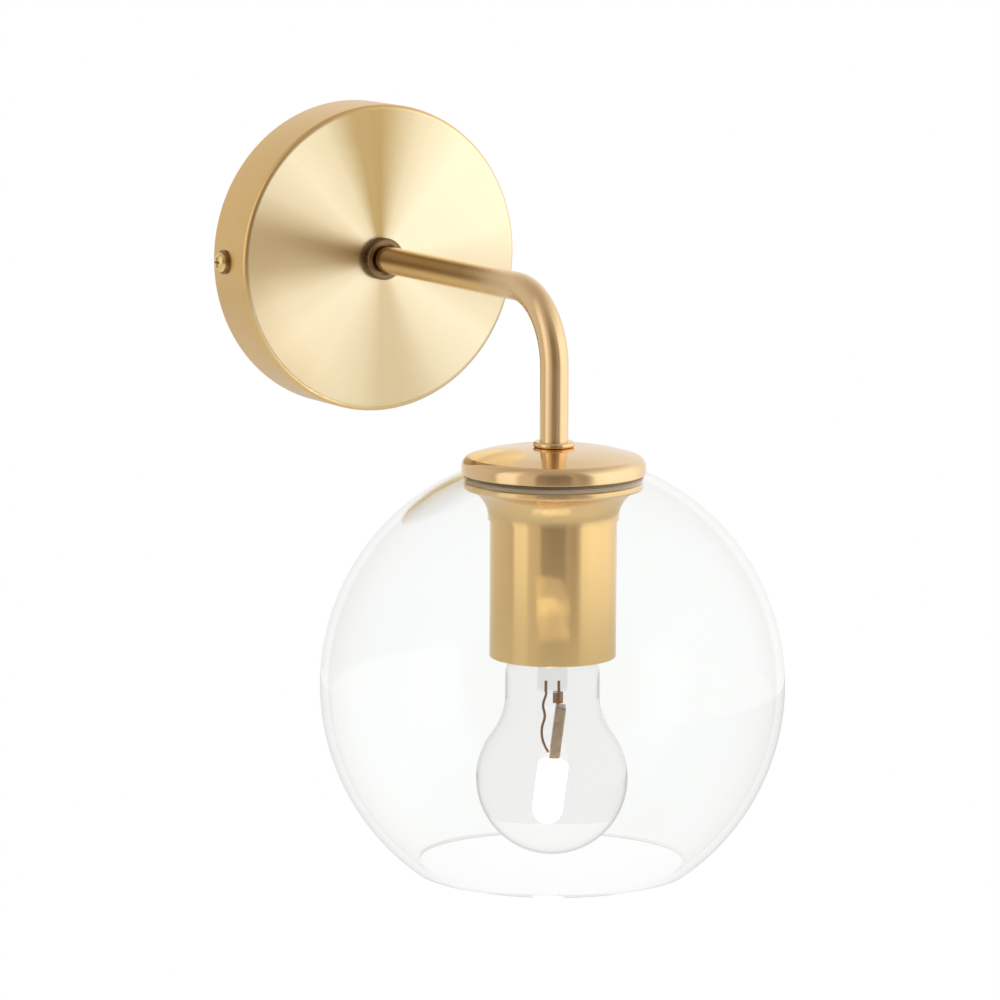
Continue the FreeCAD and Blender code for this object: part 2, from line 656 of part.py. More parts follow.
def make_canopy_fixings(document, s, h):
    """The two side screws and the ring behind each head."""
    screws = []
    washers = []
    for name, side in (("left", -1), ("right", 1)):
        turn = Rotation(Vector(0, 1, 0), 90 * side)
        screw = pan_screw(document, f"canopy_screw_{name}", s.side_screw_radius, s.side_screw_length,
                          s.pan_head, s.pan_height)
        place(screw, (s.canopy_radius + s.washer_gauge) * side, s.side_screw_line, rotation=turn)
        washer = ring(document, f"canopy_washer_{name}", s.screw_washer,
                      s.side_screw_radius + s.screw_hole_play, as_size(0.0), s.washer_gauge)
        place(washer, s.canopy_radius * side, s.side_screw_line, rotation=turn)
        screws.append(screw)
        washers.append(washer)
    return [group(document, "canopy_screws", screws), group(document, "canopy_screw_washers", washers)]


def make_terminal_block(document, s, h):
    """Three-pole terminal block on the bracket's plate."""
    body = new_body(document, "terminal_block")
    gauge = s.bracket_gauge
    half = s.pole_pitch + s.block_margin
    low = -s.block_top - s.block_tall
    middle = -s.block_top - s.block_tall / 2
    block = new_sketch(body, "Block", "XY_Plane", gauge)
    draw_outline(block, rectangle(-half, low, half, -s.block_top))
    pad(body, block, s.block_deep, name="BlockPad")
    bores = new_sketch(body, "Bores")
    chimneys = new_sketch(body, "Chimneys", "XY_Plane", gauge + s.block_deep)
    for pole in (-1, 0, 1):
        draw_circle(bores, s.pole_pitch * pole, gauge + s.pole_line, s.pole_outer + s.pole_fit)
        for row in (-1, 1):
            draw_circle(chimneys, s.pole_pitch * pole, middle + s.pole_screw_offset * row,
                        s.small_screw + s.screw_hole_play)
    pocket(body, bores, (s.block_top + s.block_tall) * 2.2, middle=True, name="BoreCuts")
    pocket(body, chimneys, s.block_deep - s.pole_line, name="ChimneyCuts")
    fixing = new_sketch(body, "Fixing", "XY_Plane", gauge + s.block_deep)
    draw_circle(fixing, s.pole_pitch / 2, middle, s.block_screw + s.screw_hole_play)
    pocket(body, fixing, s.block_deep + gauge, name="FixingCut")
    return place(body, rotation=WALL_TURN)


def make_terminal_metal(document, s, h):
    """The block's pole tubes, their screws and the screw that holds the block."""
    tubes = []
    screws = []
    middle = -s.block_top - s.block_tall / 2
    half = s.block_tall / 2 - s.pole_setback
    front = s.bracket_gauge + s.block_deep
    press = s.bracket_gauge + s.pole_line + s.core_radius + s.thread_play
    screw_top = front - s.pole_setback
    for pole in (-1, 0, 1):
        name = f"pole_tube_{pole + 2}"
        tube = ring(document, name, s.pole_outer, s.pole_bore, -half, half)
        taps = new_sketch(tube, "Taps")
        for row in (-1, 1):
            draw_circle(taps, 0.0, s.pole_screw_offset * row, s.small_screw + s.thread_play)
            screw = slotted_screw(document, f"pole_screw_{pole + 2}_{row + 1}", s.small_screw, screw_top - press)
            place(screw, s.pole_pitch * pole, screw_top, middle + s.pole_screw_offset * row, WALL_TURN)
            screws.append(screw)
        pocket(tube, taps, s.pole_outer * 1.5, name="TapCuts", backwards=True)
        tubes.append(place(tube, s.pole_pitch * pole, s.bracket_gauge + s.pole_line, middle))
    fixing = pan_screw(document, "terminal_block_screw", s.block_screw, front - s.screw_hole_play,
                       s.block_screw * 1.8, s.block_screw * 1.2)
    place(fixing, s.pole_pitch / 2, front, middle, WALL_TURN)
    return [group(document, "terminal_tubes", tubes), group(document, "terminal_screws", screws), fixing]


def make_earth_point(document, s, h):
    """The ring tag under the earth screw, on the bracket's tab."""
    tag = new_body(document, "earth_tag")
    barrel_top = -s.tag_radius - s.tag_gauge
    eye = draw_circle(new_sketch(tag, "Eye", "YZ_Plane"), 0.0, 0.0, s.tag_radius)
    pad(tag, eye, s.tag_gauge, name="EyePad").Reversed = True
    tongue = rectangle(-s.tag_barrel, barrel_top - s.tag_gauge, s.tag_barrel, -s.tag_radius / 2)
    tongue_pad = pad(tag, draw_outline(new_sketch(tag, "Tongue", "YZ_Plane"), tongue), s.tag_gauge, name="TonguePad")
    tongue_pad.Reversed = True
    barrel = new_sketch(tag, "Barrel", "XY_Plane", barrel_top)
    barrel_line = -s.tag_barrel - s.tag_gauge / 4
    draw_circle(barrel, barrel_line, 0.0, s.tag_barrel)
    pad(tag, barrel, s.tag_barrel_length, name="BarrelPad").Reversed = True
    bore = new_sketch(tag, "Bore", "XY_Plane", barrel_top - s.tag_barrel_length)
    draw_circle(bore, barrel_line, 0.0, s.core_radius + s.screw_hole_play)
    pocket(tag, bore, s.tag_barrel_length, name="BoreCut", backwards=True)
    hole = draw_circle(new_sketch(tag, "Hole", "YZ_Plane"), 0.0, 0.0, s.side_screw_radius + s.screw_hole_play)
    pocket(tag, hole, s.tag_gauge * 3, middle=True, name="HoleCut")
    tab_face = s.plate_half_width - s.bracket_gauge
    place(tag, tab_face, s.earth_line, s.earth_height)
    screw = pan_screw(document, "earth_screw", s.side_screw_radius, s.earth_screw_length, s.pan_head, s.pan_height)
    place(screw, tab_face - s.tag_gauge, s.earth_line, s.earth_height, Rotation(Vector(0, 1, 0), -90))
    return [tag, screw]


# ---------------------------------------------------------------- the arm

def make_lock_ring(document, s, h):
    """Knurled ring between the canopy and the arm."""
    body = new_body(document, "arm_lock_ring")
    back = s.canopy_depth
    front = back + s.ring_depth
    radius = s.ring_radius
    lathe(body, [
        (h.rod_hole, back), (radius - s.ring_chamfer, back), (radius, back + s.ring_chamfer),
        (radius, front - s.ring_chamfer), (radius - s.ring_chamfer, front), (s.ring_recess, front),
        (s.ring_recess, front - s.ring_recess_depth), (h.rod_hole, front - s.ring_recess_depth),
    ])
    root_radius = radius - s.knurl_depth
    mouth = s.knurl_depth * 0.7
    groove = draw_outline(new_sketch(body, "Groove", "XY_Plane"), [
        (root_radius, 0.0), (radius + s.knurl_depth, -mouth * 2), (radius + s.knurl_depth, mouth * 2)])
    cut = pocket(body, groove, front * 2.2, middle=True, name="GrooveCut")
    knurl = body.newObject("PartDesign::PolarPattern", "arm_lock_ring_Knurl")
    knurl.Originals = [cut]
    knurl.Axis = (groove, ["N_Axis"])
    knurl.Angle = 360
    knurl.Occurrences = KNURL_COUNT
    body.Tip = knurl
    return place(body, rotation=WALL_TURN)


def make_arm_tube(document, s, h):
    """Bent tube, tapped at both ends for the hollow rods."""
    body = new_body(document, "arm_tube")
    reach = s.arm_reach - h.arm_start
    drop = s.globe_drop - h.arm_end
    path = draw_outline(new_sketch(body, "Path", "YZ_Plane"), [
        (0.0, 0.0), (-reach + s.arm_bend, 0.0), (-reach, -s.arm_bend, s.arm_bend), (-reach, -drop),
    ], closed=False)
    section = new_sketch(body, "Section")
    draw_circle(section, 0.0, 0.0, s.tube_radius)
    draw_circle(section, 0.0, 0.0, s.tube_bore)
    pipe = body.newObject("PartDesign::AdditivePipe", "arm_tube_Pipe")
    pipe.Profile = section
    pipe.Spine = path
    tap_depth = s.nipple_engagement + s.nipple_end_room
    upper = draw_circle(new_sketch(body, "UpperTap"), 0.0, 0.0, h.rod_hole)
    pocket(body, upper, tap_depth, name="UpperTapCut", backwards=True)
    lower = draw_circle(new_sketch(body, "LowerTap", "XY_Plane", -drop), 0.0, -reach, h.rod_hole)
    pocket(body, lower, tap_depth, name="LowerTapCut", backwards=True)
    return place(body, outward=h.arm_start)


def make_wall_rod(document, s, h):
    """Hollow rod, nut and washer that hold the arm to the canopy."""
    washer_high = s.canopy_depth - s.canopy_wall
    rod = ring(document, "wall_nipple", s.nipple_radius, s.nipple_bore, h.nut_back - s.nipple_tail,
               h.arm_start + s.nipple_engagement)
    washer = ring(document, "wall_washer", s.lock_washer, h.rod_hole, washer_high - s.washer_gauge, washer_high)
    nut = hexagon_nut(document, "wall_nut", s.nut_radius, h.rod_hole, s.nut_height)
    return [place(rod, rotation=WALL_TURN), place(washer, rotation=WALL_TURN),
            place(nut, outward=h.nut_back, rotation=WALL_TURN)]


# ---------------------------------------------------------------- cap, glass and socket cover

def at_globe(item, s, height=0.0, rotation=None):
    """Put an object on the globe's axis, at a height above its centre."""
    return place(item, 0.0, s.arm_reach, as_size(height) - s.globe_drop, rotation)


def make_collar(document, s, h):
    """Rounded bead between the arm's end and the cap."""
    body = new_body(document, "collar_ring")
    low = h.cap_top
    high = h.arm_end
    radius = s.collar_radius
    rounding = s.collar_round
    lathe(body, [
        (h.rod_hole, low), (radius - rounding, low), (radius, low + rounding, rounding),
        (radius, high - rounding), (radius - rounding, high, rounding), (h.rod_hole, high),
    ])
    return at_globe(body, s)


def dome_radius(s):
    """Radius of the cap's shallow dome."""
    width = s.cap_dome_edge - s.cap_flat
    return (width * width + s.cap_dome_fall * s.cap_dome_fall) / (s.cap_dome_fall * 2)


def make_cap(document, s, h):
    """Shallow domed cap that sits on the glass."""
    body = new_body(document, "glass_cap")
    top = h.cap_top
    outer_dome = dome_radius(s)
    inner_dome = outer_dome - s.cap_wall
    share = inner_dome / outer_dome
    inner_edge = s.cap_flat + (s.cap_dome_edge - s.cap_flat) * share
    inner_edge_height = top - outer_dome + (outer_dome - s.cap_dome_fall) * share
    side_top = top - s.cap_corner_fall
    lathe(body, [
        (h.rod_hole, top - s.cap_wall), (s.cap_flat, top - s.cap_wall),
        (inner_edge, inner_edge_height, -inner_dome),
        (h.cap_seat_radius, side_top, s.cap_wall - s.cap_corner),
        (h.cap_seat_radius, h.cap_seat), (s.cap_radius, h.cap_rim), (s.cap_radius, side_top),
        (s.cap_dome_edge, top - s.cap_dome_fall, s.cap_corner), (s.cap_flat, top, outer_dome),
        (h.rod_hole, top),
    ])
    return at_globe(body, s)


def make_globe(document, s, h):
    """Blown glass globe, open below, with a fire-polished lower rim."""
    body = new_body(document, "glass_globe")
    inner = h.inner_globe
    share = inner / s.globe_radius
    opening_height = -leg(s.globe_radius, s.globe_opening)
    lathe(body, [
        (s.globe_hole, leg(inner, s.globe_hole), inner), (s.globe_hole, leg(s.globe_radius, s.globe_hole)),
        (s.globe_opening, opening_height, -s.globe_radius),
        (s.globe_opening * share, opening_height * share, -s.globe_lip),
    ])
    return at_globe(body, s)


def make_gasket(document, s, h):
    """Soft ring between the flange's lip and the glass."""
    body = new_body(document, "glass_gasket")
    lathe(body, [
        (h.gasket_inner, h.lip_top), (h.gasket_outer, h.lip_top),
        (h.gasket_outer, h.lip_top + s.gasket_edge),
        (h.gasket_inner, leg(h.inner_globe, h.gasket_inner) - s.gasket_gap),
    ])
    return at_globe(body, s)


def make_sleeve(document, s, h):
    """Dark sleeve that centres the glass and spaces the cap off the flange."""
    inner_dome = dome_radius(s) - s.cap_wall
    ceiling = h.cap_top - dome_radius(s) + leg(inner_dome, s.sleeve_radius - s.cap_flat)
    sleeve = ring(document, "centring_sleeve", s.sleeve_radius, s.sleeve_radius - s.sleeve_wall,
                  h.flange_floor + s.flange_wall, ceiling - s.gasket_gap)
    return at_globe(sleeve, s)


def make_flange(document, s, h):
    """Flared flange under the glass."""
    body = new_body(document, "gallery_flange")
    floor = h.flange_floor
    foot = floor - s.flange_foot_drop
    lip_low = h.lip_top - s.flange_lip
    outer = s.flange_radius
    rounding = s.flange_lip_round
    seat = h.gasket_inner - s.gasket_inset
    lap = s.cover_radius + s.thread_play
    lathe(body, [
        (h.rod_hole, floor), (lap, floor), (lap, foot), (s.flange_foot, foot), (s.flange_foot, floor),
        (outer - s.flange_turn_in, lip_low, -s.flare_radius), (outer - rounding, lip_low),
        (outer, lip_low + rounding, rounding), (outer, h.lip_top - rounding),
        (outer - rounding, h.lip_top, rounding), (seat, h.lip_top), (seat, h.lip_top - s.flange_lip / 2),
        (s.flange_foot - s.flange_wall, floor + s.flange_wall, s.flare_radius + s.flange_wall),
        (h.rod_hole, floor + s.flange_wall),
    ])
    return at_globe(body, s)


def make_cover(document, s, h):
    """Long cylindrical cover round the lampholder, closed at the top."""
    body = new_body(document, "socket_cover")
    top = h.flange_floor
    inner = s.cover_radius - s.cover_wall
    rounding = s.cover_edge
    lathe(body, [
        (h.rod_hole, top - s.cover_floor), (inner, top - s.cover_floor), (inner, h.cover_end + rounding),
        (inner + rounding, h.cover_end, rounding), (s.cover_radius - rounding, h.cover_end),
        (s.cover_radius, h.cover_end + rounding, rounding), (s.cover_radius, top - rounding),
        (s.cover_radius - rounding, top, rounding), (h.rod_hole, top),
    ])
    return at_globe(body, s)


def make_lower_rod(document, s, h):
    """Hollow rod, nut and washer that clamp cap, glass, flange and cover to the arm."""
    rod = ring(document, "lower_nipple", s.nipple_radius, s.nipple_bore,
               h.holder_top - s.dome_ceiling - s.nipple_end_room, h.arm_end + s.nipple_engagement)
    washer = ring(document, "cover_washer", s.lock_washer, h.rod_hole, h.washer_low, h.washer_low + s.washer_gauge)
    nut = hexagon_nut(document, "cover_nut", s.nut_radius, h.rod_hole, s.nut_height)
    return [at_globe(rod, s), at_globe(washer, s), at_globe(nut, s, h.holder_top)]


# ---------------------------------------------------------------- the lampholder

def make_holder_mouldings(document, s, h):
    """Dome, skirt and insert of the lampholder, with their origin at the top of the entry boss."""
    inner = s.holder_radius - s.holder_wall
    spigot = inner - s.gasket_gap
    spigot_inner = spigot - s.spigot_wall
    joint = -s.dome_height
    shoulder = s.holder_wall
    dome = new_body(document, "holder_dome")
    lathe(dome, [
        (h.rod_hole, -s.dome_ceiling), (spigot_inner - s.dome_curve, -s.dome_ceiling),
        (spigot_inner, -s.dome_ceiling - s.dome_curve, -s.dome_curve), (spigot_inner, -s.insert_top),
        (spigot, -s.insert_top), (spigot, joint), (s.holder_radius, joint), (s.holder_radius, joint + shoulder),
        (s.boss_radius + shoulder, -s.boss_height, s.holder_radius - s.boss_radius),
        (s.boss_radius, -s.boss_height), (s.boss_radius, 0.0), (h.rod_hole, 0.0),
    ])
    low = h.cover_end + s.holder_setback - h.holder_top
    ledge = inner - s.ledge_width
    lip = inner - s.skirt_lip
    skirt = new_body(document, "holder_skirt")
    lathe(skirt, [
        (lip, low), (s.holder_radius, low), (s.holder_radius, joint), (inner, joint), (inner, h.insert_low),
        (ledge, h.insert_low), (ledge, h.insert_low - s.ledge_height), (inner, h.insert_low - s.ledge_height),
        (inner, low + s.skirt_lip_height), (lip, low + s.skirt_lip_height),
    ])
    insert = ring(document, "holder_insert", spigot, s.core_radius * 2, h.insert_low, -s.insert_top)
    rivets = new_sketch(insert, "Rivets", "XY_Plane", h.insert_low)
    draw_circle(rivets, -s.live_offset, 0.0, s.rivet_radius + s.thread_play)
    draw_circle(rivets, shell_rivet(s), 0.0, s.rivet_radius + s.thread_play)
    pocket(insert, rivets, s.insert_height, name="RivetCuts", backwards=True)
    return [at_globe(item, s, h.holder_top) for item in (dome, skirt, insert)]


def shell_bore(s):
    """Inner radius of the lampholder's screw shell, at the root of its thread."""
    return s.lamp_core + s.thread_depth + s.socket_play


def shell_rivet(s):
    """Distance of the screw shell's rivet from the lamp axis."""
    return shell_bore(s) + s.rivet_radius + s.thread_play


def make_centre_contact(document, s, h):
    """Sprung brass strip over the lamp's tip, riveted through the insert."""
    body = new_body(document, "centre_contact")
    under = h.insert_low
    low = under - s.contact_room + s.contact_air
    high = low + s.contact_gauge
    tip = s.contact_width / 2
    foot = -s.live_offset - s.rivet_radius * 2
    knee = -s.live_offset + s.rivet_radius * 3
    strip = draw_outline(new_sketch(body, "Strip"), [
        (tip, low), (tip, high), (-tip, high), (knee, under), (foot, under),
        (foot, under - s.contact_gauge), (knee, under - s.contact_gauge), (-tip, low)])
    pad(body, strip, s.contact_width, middle=True, name="StripPad")
    rivet = draw_circle(new_sketch(body, "Rivet", "XY_Plane", under), -s.live_offset, 0.0, s.rivet_radius)
    pad(body, rivet, s.insert_height, name="RivetPad")
    return at_globe(body, s, h.holder_top)


def make_holder_terminals(document, s, h):
    """Two screw terminals on the insert and their screws."""
    blocks = []
    screws = []
    half = s.terminal_side / 2
    hole = s.wire_radius + s.thread_play
    press = s.core_radius + s.thread_play
    for name, offset in (("live", -s.live_offset), ("neutral", s.neutral_offset)):
        block = new_body(document, f"terminal_{name}")
        pad(block, draw_outline(new_sketch(block, "Block", "XY_Plane"), rectangle(-half, -half, half, half)),
            s.terminal_height, name="BlockPad")
        well = draw_circle(new_sketch(block, "Well", "XY_Plane", s.terminal_height), 0.0, 0.0, hole)
        pocket(block, well, s.terminal_height - s.core_radius, name="WellCut")
        tap = draw_circle(new_sketch(block, "Tap"), 0.0, s.terminal_height * 0.4, s.small_screw + s.thread_play)
        pocket(block, tap, s.terminal_side, name="TapCut", backwards=True)
        place(block, offset, s.arm_reach, h.holder_top - s.insert_top - s.globe_drop)
        screw = slotted_screw(document, f"terminal_screw_{name}", s.small_screw, half - press + s.core_radius)
        place(screw, offset, s.arm_reach + half + s.core_radius,
              h.holder_top - s.insert_top + s.terminal_height * 0.4 - s.globe_drop, WALL_TURN)
        blocks.append(block)
        screws.append(screw)
    return [group(document, "holder_terminals", blocks), group(document, "holder_terminal_screws", screws)]


def lamp_thread_low(s):
    """Lower end of the lamp's thread, below the lamp's tip."""
    return -(s.lamp_shell_end - s.lamp_skirt_height - s.thread_depth * 2)


def make_holder_shell(document, s, h):
    """Screw shell of the lampholder, with a real right-hand thread inside."""
    bore = shell_bore(s).value
    outer = bore + s.holder_shell_wall.value
    rim = (shell_rivet(s) + s.rivet_radius + s.thread_play).value
    top = h.insert_low.value
    low = top - s.holder_shell_length.value
    gauge = s.holder_shell_wall.value
    tube = turned_shape([(bore, low), (outer, low), (outer, top - gauge), (rim, top - gauge), (rim, top), (bore, top)])
    pitch = s.thread_pitch.value
    lamp_low = (lamp_thread_low(s) + h.insert_low - s.contact_room).value
    ridge_high = top - pitch * 0.55
    ridge_low = lamp_low + pitch / 2
    ridge = thread_ridge(bore, bore - s.thread_depth.value, pitch, ridge_low, ridge_high)
    rivet = Part.makeCylinder(s.rivet_radius.value, s.insert_height.value + gauge,
                              Vector(shell_rivet(s).value, 0, top - gauge))
    shape = tube.fuse([ridge, rivet])
    return at_globe(shape_feature(document, "holder_shell", shape), s, h.holder_top)


# ---------------------------------------------------------------- the lamp

def at_lamp(item, s, h, rotation=None):
    """Put an object on the lamp's axis, with its origin at the lamp's tip."""
    return at_globe(item, s, h.lamp_tip, rotation)


def make_lamp_cap(document, s, h):
    """Contact button, insulator and screw shell of the lamp."""
    contact = new_body(document, "lamp_contact")
    edge = s.contact_height / 2
    lathe(contact, [
        (0.0, -s.contact_height), (s.contact_radius, -s.contact_height), (s.contact_radius, -edge),
        (s.contact_radius - edge, 0.0, edge), (0.0, 0.0)])
    insulator = new_body(document, "lamp_insulator")
    face = -s.contact_height - s.thread_play
    lathe(insulator, [
        (0.0, -s.shell_top - s.thread_depth), (s.insulator_radius, -s.shell_top - s.thread_depth),
        (s.insulator_radius, -s.shell_top), (s.contact_radius + edge, face), (0.0, face)])
    core = s.lamp_core.value
    wall = s.lamp_shell_wall.value
    mouth = s.insulator_radius.value + s.thread_play.value * 2
    top = -s.shell_top.value
    depth = s.thread_depth.value
    end = -s.lamp_shell_end.value
    skirt = s.lamp_skirt.value
    skirt_top = end + s.lamp_skirt_height.value
    shell = turned_shape([
        (mouth, top), (core, top - depth), (core, skirt_top + depth), (skirt, skirt_top), (skirt, end),
        (skirt - wall, end), (skirt - wall, skirt_top - wall / 2), (core - wall, skirt_top + depth - wall / 2),
        (core - wall, top - depth - wall / 2), (mouth, top - wall)])
    pitch = s.thread_pitch.value
    ridge = thread_ridge(core, core + depth, pitch, lamp_thread_low(s).value, top - depth * 2.2)
    shell = shape_feature(document, "lamp_shell", shell.fuse(ridge))
    return [at_lamp(item, s, h) for item in (contact, insulator, shell)]


def make_envelope(document, s, h):
    """Clear bulb: collar inside the screw shell, neck, hollow curve and ball."""
    body = new_body(document, "lamp_envelope")
    wall = s.bulb_wall
    ball = s.bulb_radius
    hollow = s.bulb_hollow
    centre = ball - s.lamp_length
    reach = hollow + ball
    rise = leg(reach, s.bulb_neck + hollow)
    share = ball / reach
    inner_share = (ball - wall) / reach
    shoulder = s.bulb_neck - s.bulb_collar
    collar_low = -s.lamp_shell_end - s.bulb_collar_gap
    collar_high = s.lamp_skirt_height - s.lamp_shell_end - s.lamp_shell_wall
    inner = s.bulb_collar - wall
    lathe(body, [
        (s.bulb_collar, collar_high), (s.bulb_collar, collar_low),
        (s.bulb_neck, collar_low - shoulder, -shoulder), (s.bulb_neck, centre + rise),
        ((s.bulb_neck + hollow) * share, centre + rise * share, hollow), (0.0, -s.lamp_length, -ball),
        (0.0, wall - s.lamp_length),
        ((s.bulb_neck + hollow) * inner_share, centre + rise * inner_share, ball - wall),
        (s.bulb_neck - wall, centre + rise, -hollow - wall), (s.bulb_neck - wall, collar_low - shoulder),
        (s.bulb_collar, collar_low - wall, shoulder - wall), (inner, collar_low - wall), (inner, collar_high),
    ])
    return at_lamp(body, s, h)


def make_stem(document, s, h):
    """Glass stem: flare, tube and a floor that lets the two lead wires through."""
    body = new_body(document, "lamp_stem")
    flare_top = s.lamp_skirt_height - s.lamp_shell_end - s.lamp_shell_wall
    flare = s.bulb_collar - s.bulb_wall - s.gasket_gap
    radius = s.stem_radius
    inner = radius - s.stem_wall
    curve = flare - radius
    tube_top = flare_top - s.stem_wall - curve
    floor = -s.stem_end
    lathe(body, [
        (0.0, floor), (radius, floor), (radius, tube_top), (flare, flare_top - s.stem_wall, -curve),
        (flare, flare_top), (inner, tube_top, curve + s.stem_wall), (inner, floor + s.stem_wall),
        (0.0, floor + s.stem_wall),
    ])
    holes = new_sketch(body, "LeadHoles", "XY_Plane", floor)
    for side in (-1, 1):
        draw_circle(holes, s.lead_offset * side, 0.0, s.lead_radius + s.thread_play)
    pocket(body, holes, s.stem_wall, name="LeadCuts", backwards=True)
    return at_lamp(body, s, h, capsule_turn(s))


def capsule_turn(s):
    """Turn of the lamp's inner parts about its axis."""
    return Rotation(Vector(0, 0, 1), s.capsule_turn.value)


def at_capsule(item, s, h):
    """Put an object on the capsule's own axis, with its origin at the top of the pinch."""
    turn = math.radians(s.capsule_turn.value)
    lean = Rotation(Vector(0, 1, 0), s.capsule_lean.value)
    return place(item, s.capsule_offset * math.cos(turn), s.arm_reach - s.capsule_offset * math.sin(turn),
                 h.lamp_tip - s.pinch_top - s.globe_drop, capsule_turn(s).multiply(lean))


def make_capsule(document, s, h):
    """Halogen capsule with its flat pinch, and the filament inside it."""
    body = new_body(document, "lamp_capsule")
    top = -s.pinch_height
    end = s.pinch_top - s.capsule_end
    radius = s.capsule_radius
    inner = radius - s.capsule_wall
    lathe(body, [
        (0.0, top), (0.0, top - s.capsule_wall), (inner, top - s.capsule_wall), (inner, end + radius),
        (0.0, end + s.capsule_wall, -inner), (0.0, end), (radius, end + radius, radius), (radius, top),
    ])
    half_thick = s.pinch_thickness / 2
    half_wide = s.pinch_width / 2
    pinch = draw_outline(new_sketch(body, "Pinch", "XY_Plane", top),
                         rectangle(-half_thick, -half_wide, half_thick, half_wide))
    pad(body, pinch, s.pinch_height, name="PinchPad")
    leg_top = (top - s.capsule_wall - s.thread_play).value
    coil_top = (top - s.capsule_wall - s.filament_drop).value
    coil_low = coil_top - s.filament_length.value
    across = s.filament_leg_offset.value
    turn_height = coil_low - across * 0.5
    route = [Vector(across, 0, leg_top), Vector(across, 0, turn_height), Vector(0, 0, turn_height)]
    outer_leg = tube_along(rounded_path(route, [across * 0.5]), s.filament_leg.value)
    inner_leg = Part.makeCylinder(s.filament_leg.value, leg_top - turn_height, Vector(0, 0, turn_height))
    coil = Part.makeCylinder(s.filament_radius.value, s.filament_length.value, Vector(0, 0, coil_low))
    filament = shape_feature(document, "lamp_filament", coil.fuse([inner_leg, outer_leg]).removeSplitter())
    return [at_capsule(body, s, h), at_capsule(filament, s, h)]


def make_leads(document, s, h):
    """Lead wires from the stem: one straight into the pinch with a sleeve, one crimped along its side."""
    radius = s.lead_radius.value
    offset = s.lead_offset.value
    top = -s.lead_top.value
    floor = -s.stem_end.value
    entry = -s.pinch_top.value + radius
    lean = math.tan(math.radians(s.capsule_lean.value))
    low = entry - s.pinch_height.value * 0.86
    pinch_side = s.capsule_offset.value + lean * (low - entry) - s.pinch_thickness.value / 2
    crimped = [Vector(-offset, 0, top)]
    for share, wave in CRIMP:
        crimped.append(Vector(-offset + wave, 0, floor + (low - floor) * share))
    crimped.append(Vector(pinch_side - radius * 1.2, 0, low))
    crimped_shape = tube_along(rounded_path(crimped, corner_radii(crimped)), radius)
    straight_shape = Part.makeCylinder(radius, top - entry, Vector(offset, 0, entry))
    sleeve_top = floor - radius
    sleeve_low = sleeve_top - s.lead_sleeve_length.value
    bore = radius + s.thread_play.value
    sleeve_shape = turned_shape([(bore, sleeve_low), (s.lead_sleeve.value, sleeve_low),
                                 (s.lead_sleeve.value, sleeve_top), (bore, sleeve_top)])
    sleeve_shape.translate(Vector(offset, 0, 0))
    shape = Part.makeCompound([straight_shape, crimped_shape, sleeve_shape])
    return at_lamp(shape_feature(document, "lamp_leads", shape), s, h, capsule_turn(s))


# ---------------------------------------------------------------- the wires

def make_wire(document, s, label, route, first_bare, given=None):
    """One insulated wire along its route, with a thinner bare core at each end."""
    radii = corner_radii(route, given)
    path = rounded_path(route, radii)
    solid = tube_along(path, s.wire_radius.value)
    expected = math.pi * s.wire_radius.value ** 2 * path.Length
    print(f"{label}: radii {[round(radius, 2) for radius in radii]}, volume {solid.Volume / expected:.4f} of its run")
    cores = []
    for tip, neighbour, length in ((route[0], route[1], first_bare), (route[-1], route[-2], s.wire_strip.value)):
        cores.append(Part.makeCylinder(s.core_radius.value, length, tip, (tip - neighbour).normalize()))
    return shape_feature(document, label, solid.fuse(cores))


def make_wires(document, s, h):
    """Live and neutral wires through the arm, and the earth wire inside the canopy."""
    pole_depth = (s.bracket_gauge + s.pole_line).value
    pole_end = (-s.block_top - s.pole_setback - s.pole_insulation).value
    rise = (s.wire_rise - s.block_top).value
    first_bare = (s.pole_core - s.pole_insulation).value
    reach = s.arm_reach.value
    drop = s.globe_drop.value
    fan_top = (h.holder_top - s.dome_ceiling - s.nipple_end_room - s.wire_fan).value - drop
    terminal_top = (h.holder_top - s.insert_top + s.terminal_height).value - drop
    bundles = (
        ("wire_live", -s.pole_pitch.value, -s.wire_offset.value, -s.live_offset.value),
        ("wire_neutral", 0.0, s.wire_offset.value, s.neutral_offset.value),
    )
    wires = []
    for label, pole, bundle, terminal in bundles:
        route = [
            Vector(pole, -pole_depth, pole_end), Vector(pole, -pole_depth, rise),
            Vector(bundle, -s.wire_gather.value, 0), Vector(bundle, -reach, 0), Vector(bundle, -reach, fan_top),
            Vector(terminal, -reach, terminal_top + s.wire_drop.value),
            Vector(terminal, -reach, terminal_top - s.pole_insulation.value),
        ]
        wires.append(make_wire(document, s, label, route, first_bare, {3: s.arm_bend.value}))
    barrel = (s.plate_half_width - s.bracket_gauge - s.tag_barrel - s.tag_gauge / 4).value
    barrel_low = (s.earth_height - s.tag_radius - s.tag_gauge - s.tag_barrel_length - s.thread_play).value
    earth_line = s.earth_line.value
    pole = s.pole_pitch.value
    route = [
        Vector(pole, -pole_depth, pole_end), Vector(pole, -pole_depth, rise),
        Vector(barrel, -earth_line, barrel_low - s.wire_rise.value * 1.3), Vector(barrel, -earth_line, barrel_low),
    ]
    wires.append(make_wire(document, s, "wire_earth", route, first_bare))
    return wires


# ---------------------------------------------------------------- the whole light

MAKERS = (
    make_wall_bracket, make_canopy, make_canopy_fixings, make_terminal_block, make_terminal_metal,
    make_earth_point, make_lock_ring, make_arm_tube, make_wall_rod, make_collar, make_cap, make_globe,
    make_gasket, make_sleeve, make_flange, make_cover, make_lower_rod, make_holder_mouldings,
    make_centre_contact, make_holder_terminals, make_holder_shell, make_lamp_cap, make_envelope,
    make_stem, make_capsule, make_leads, make_wires,
)


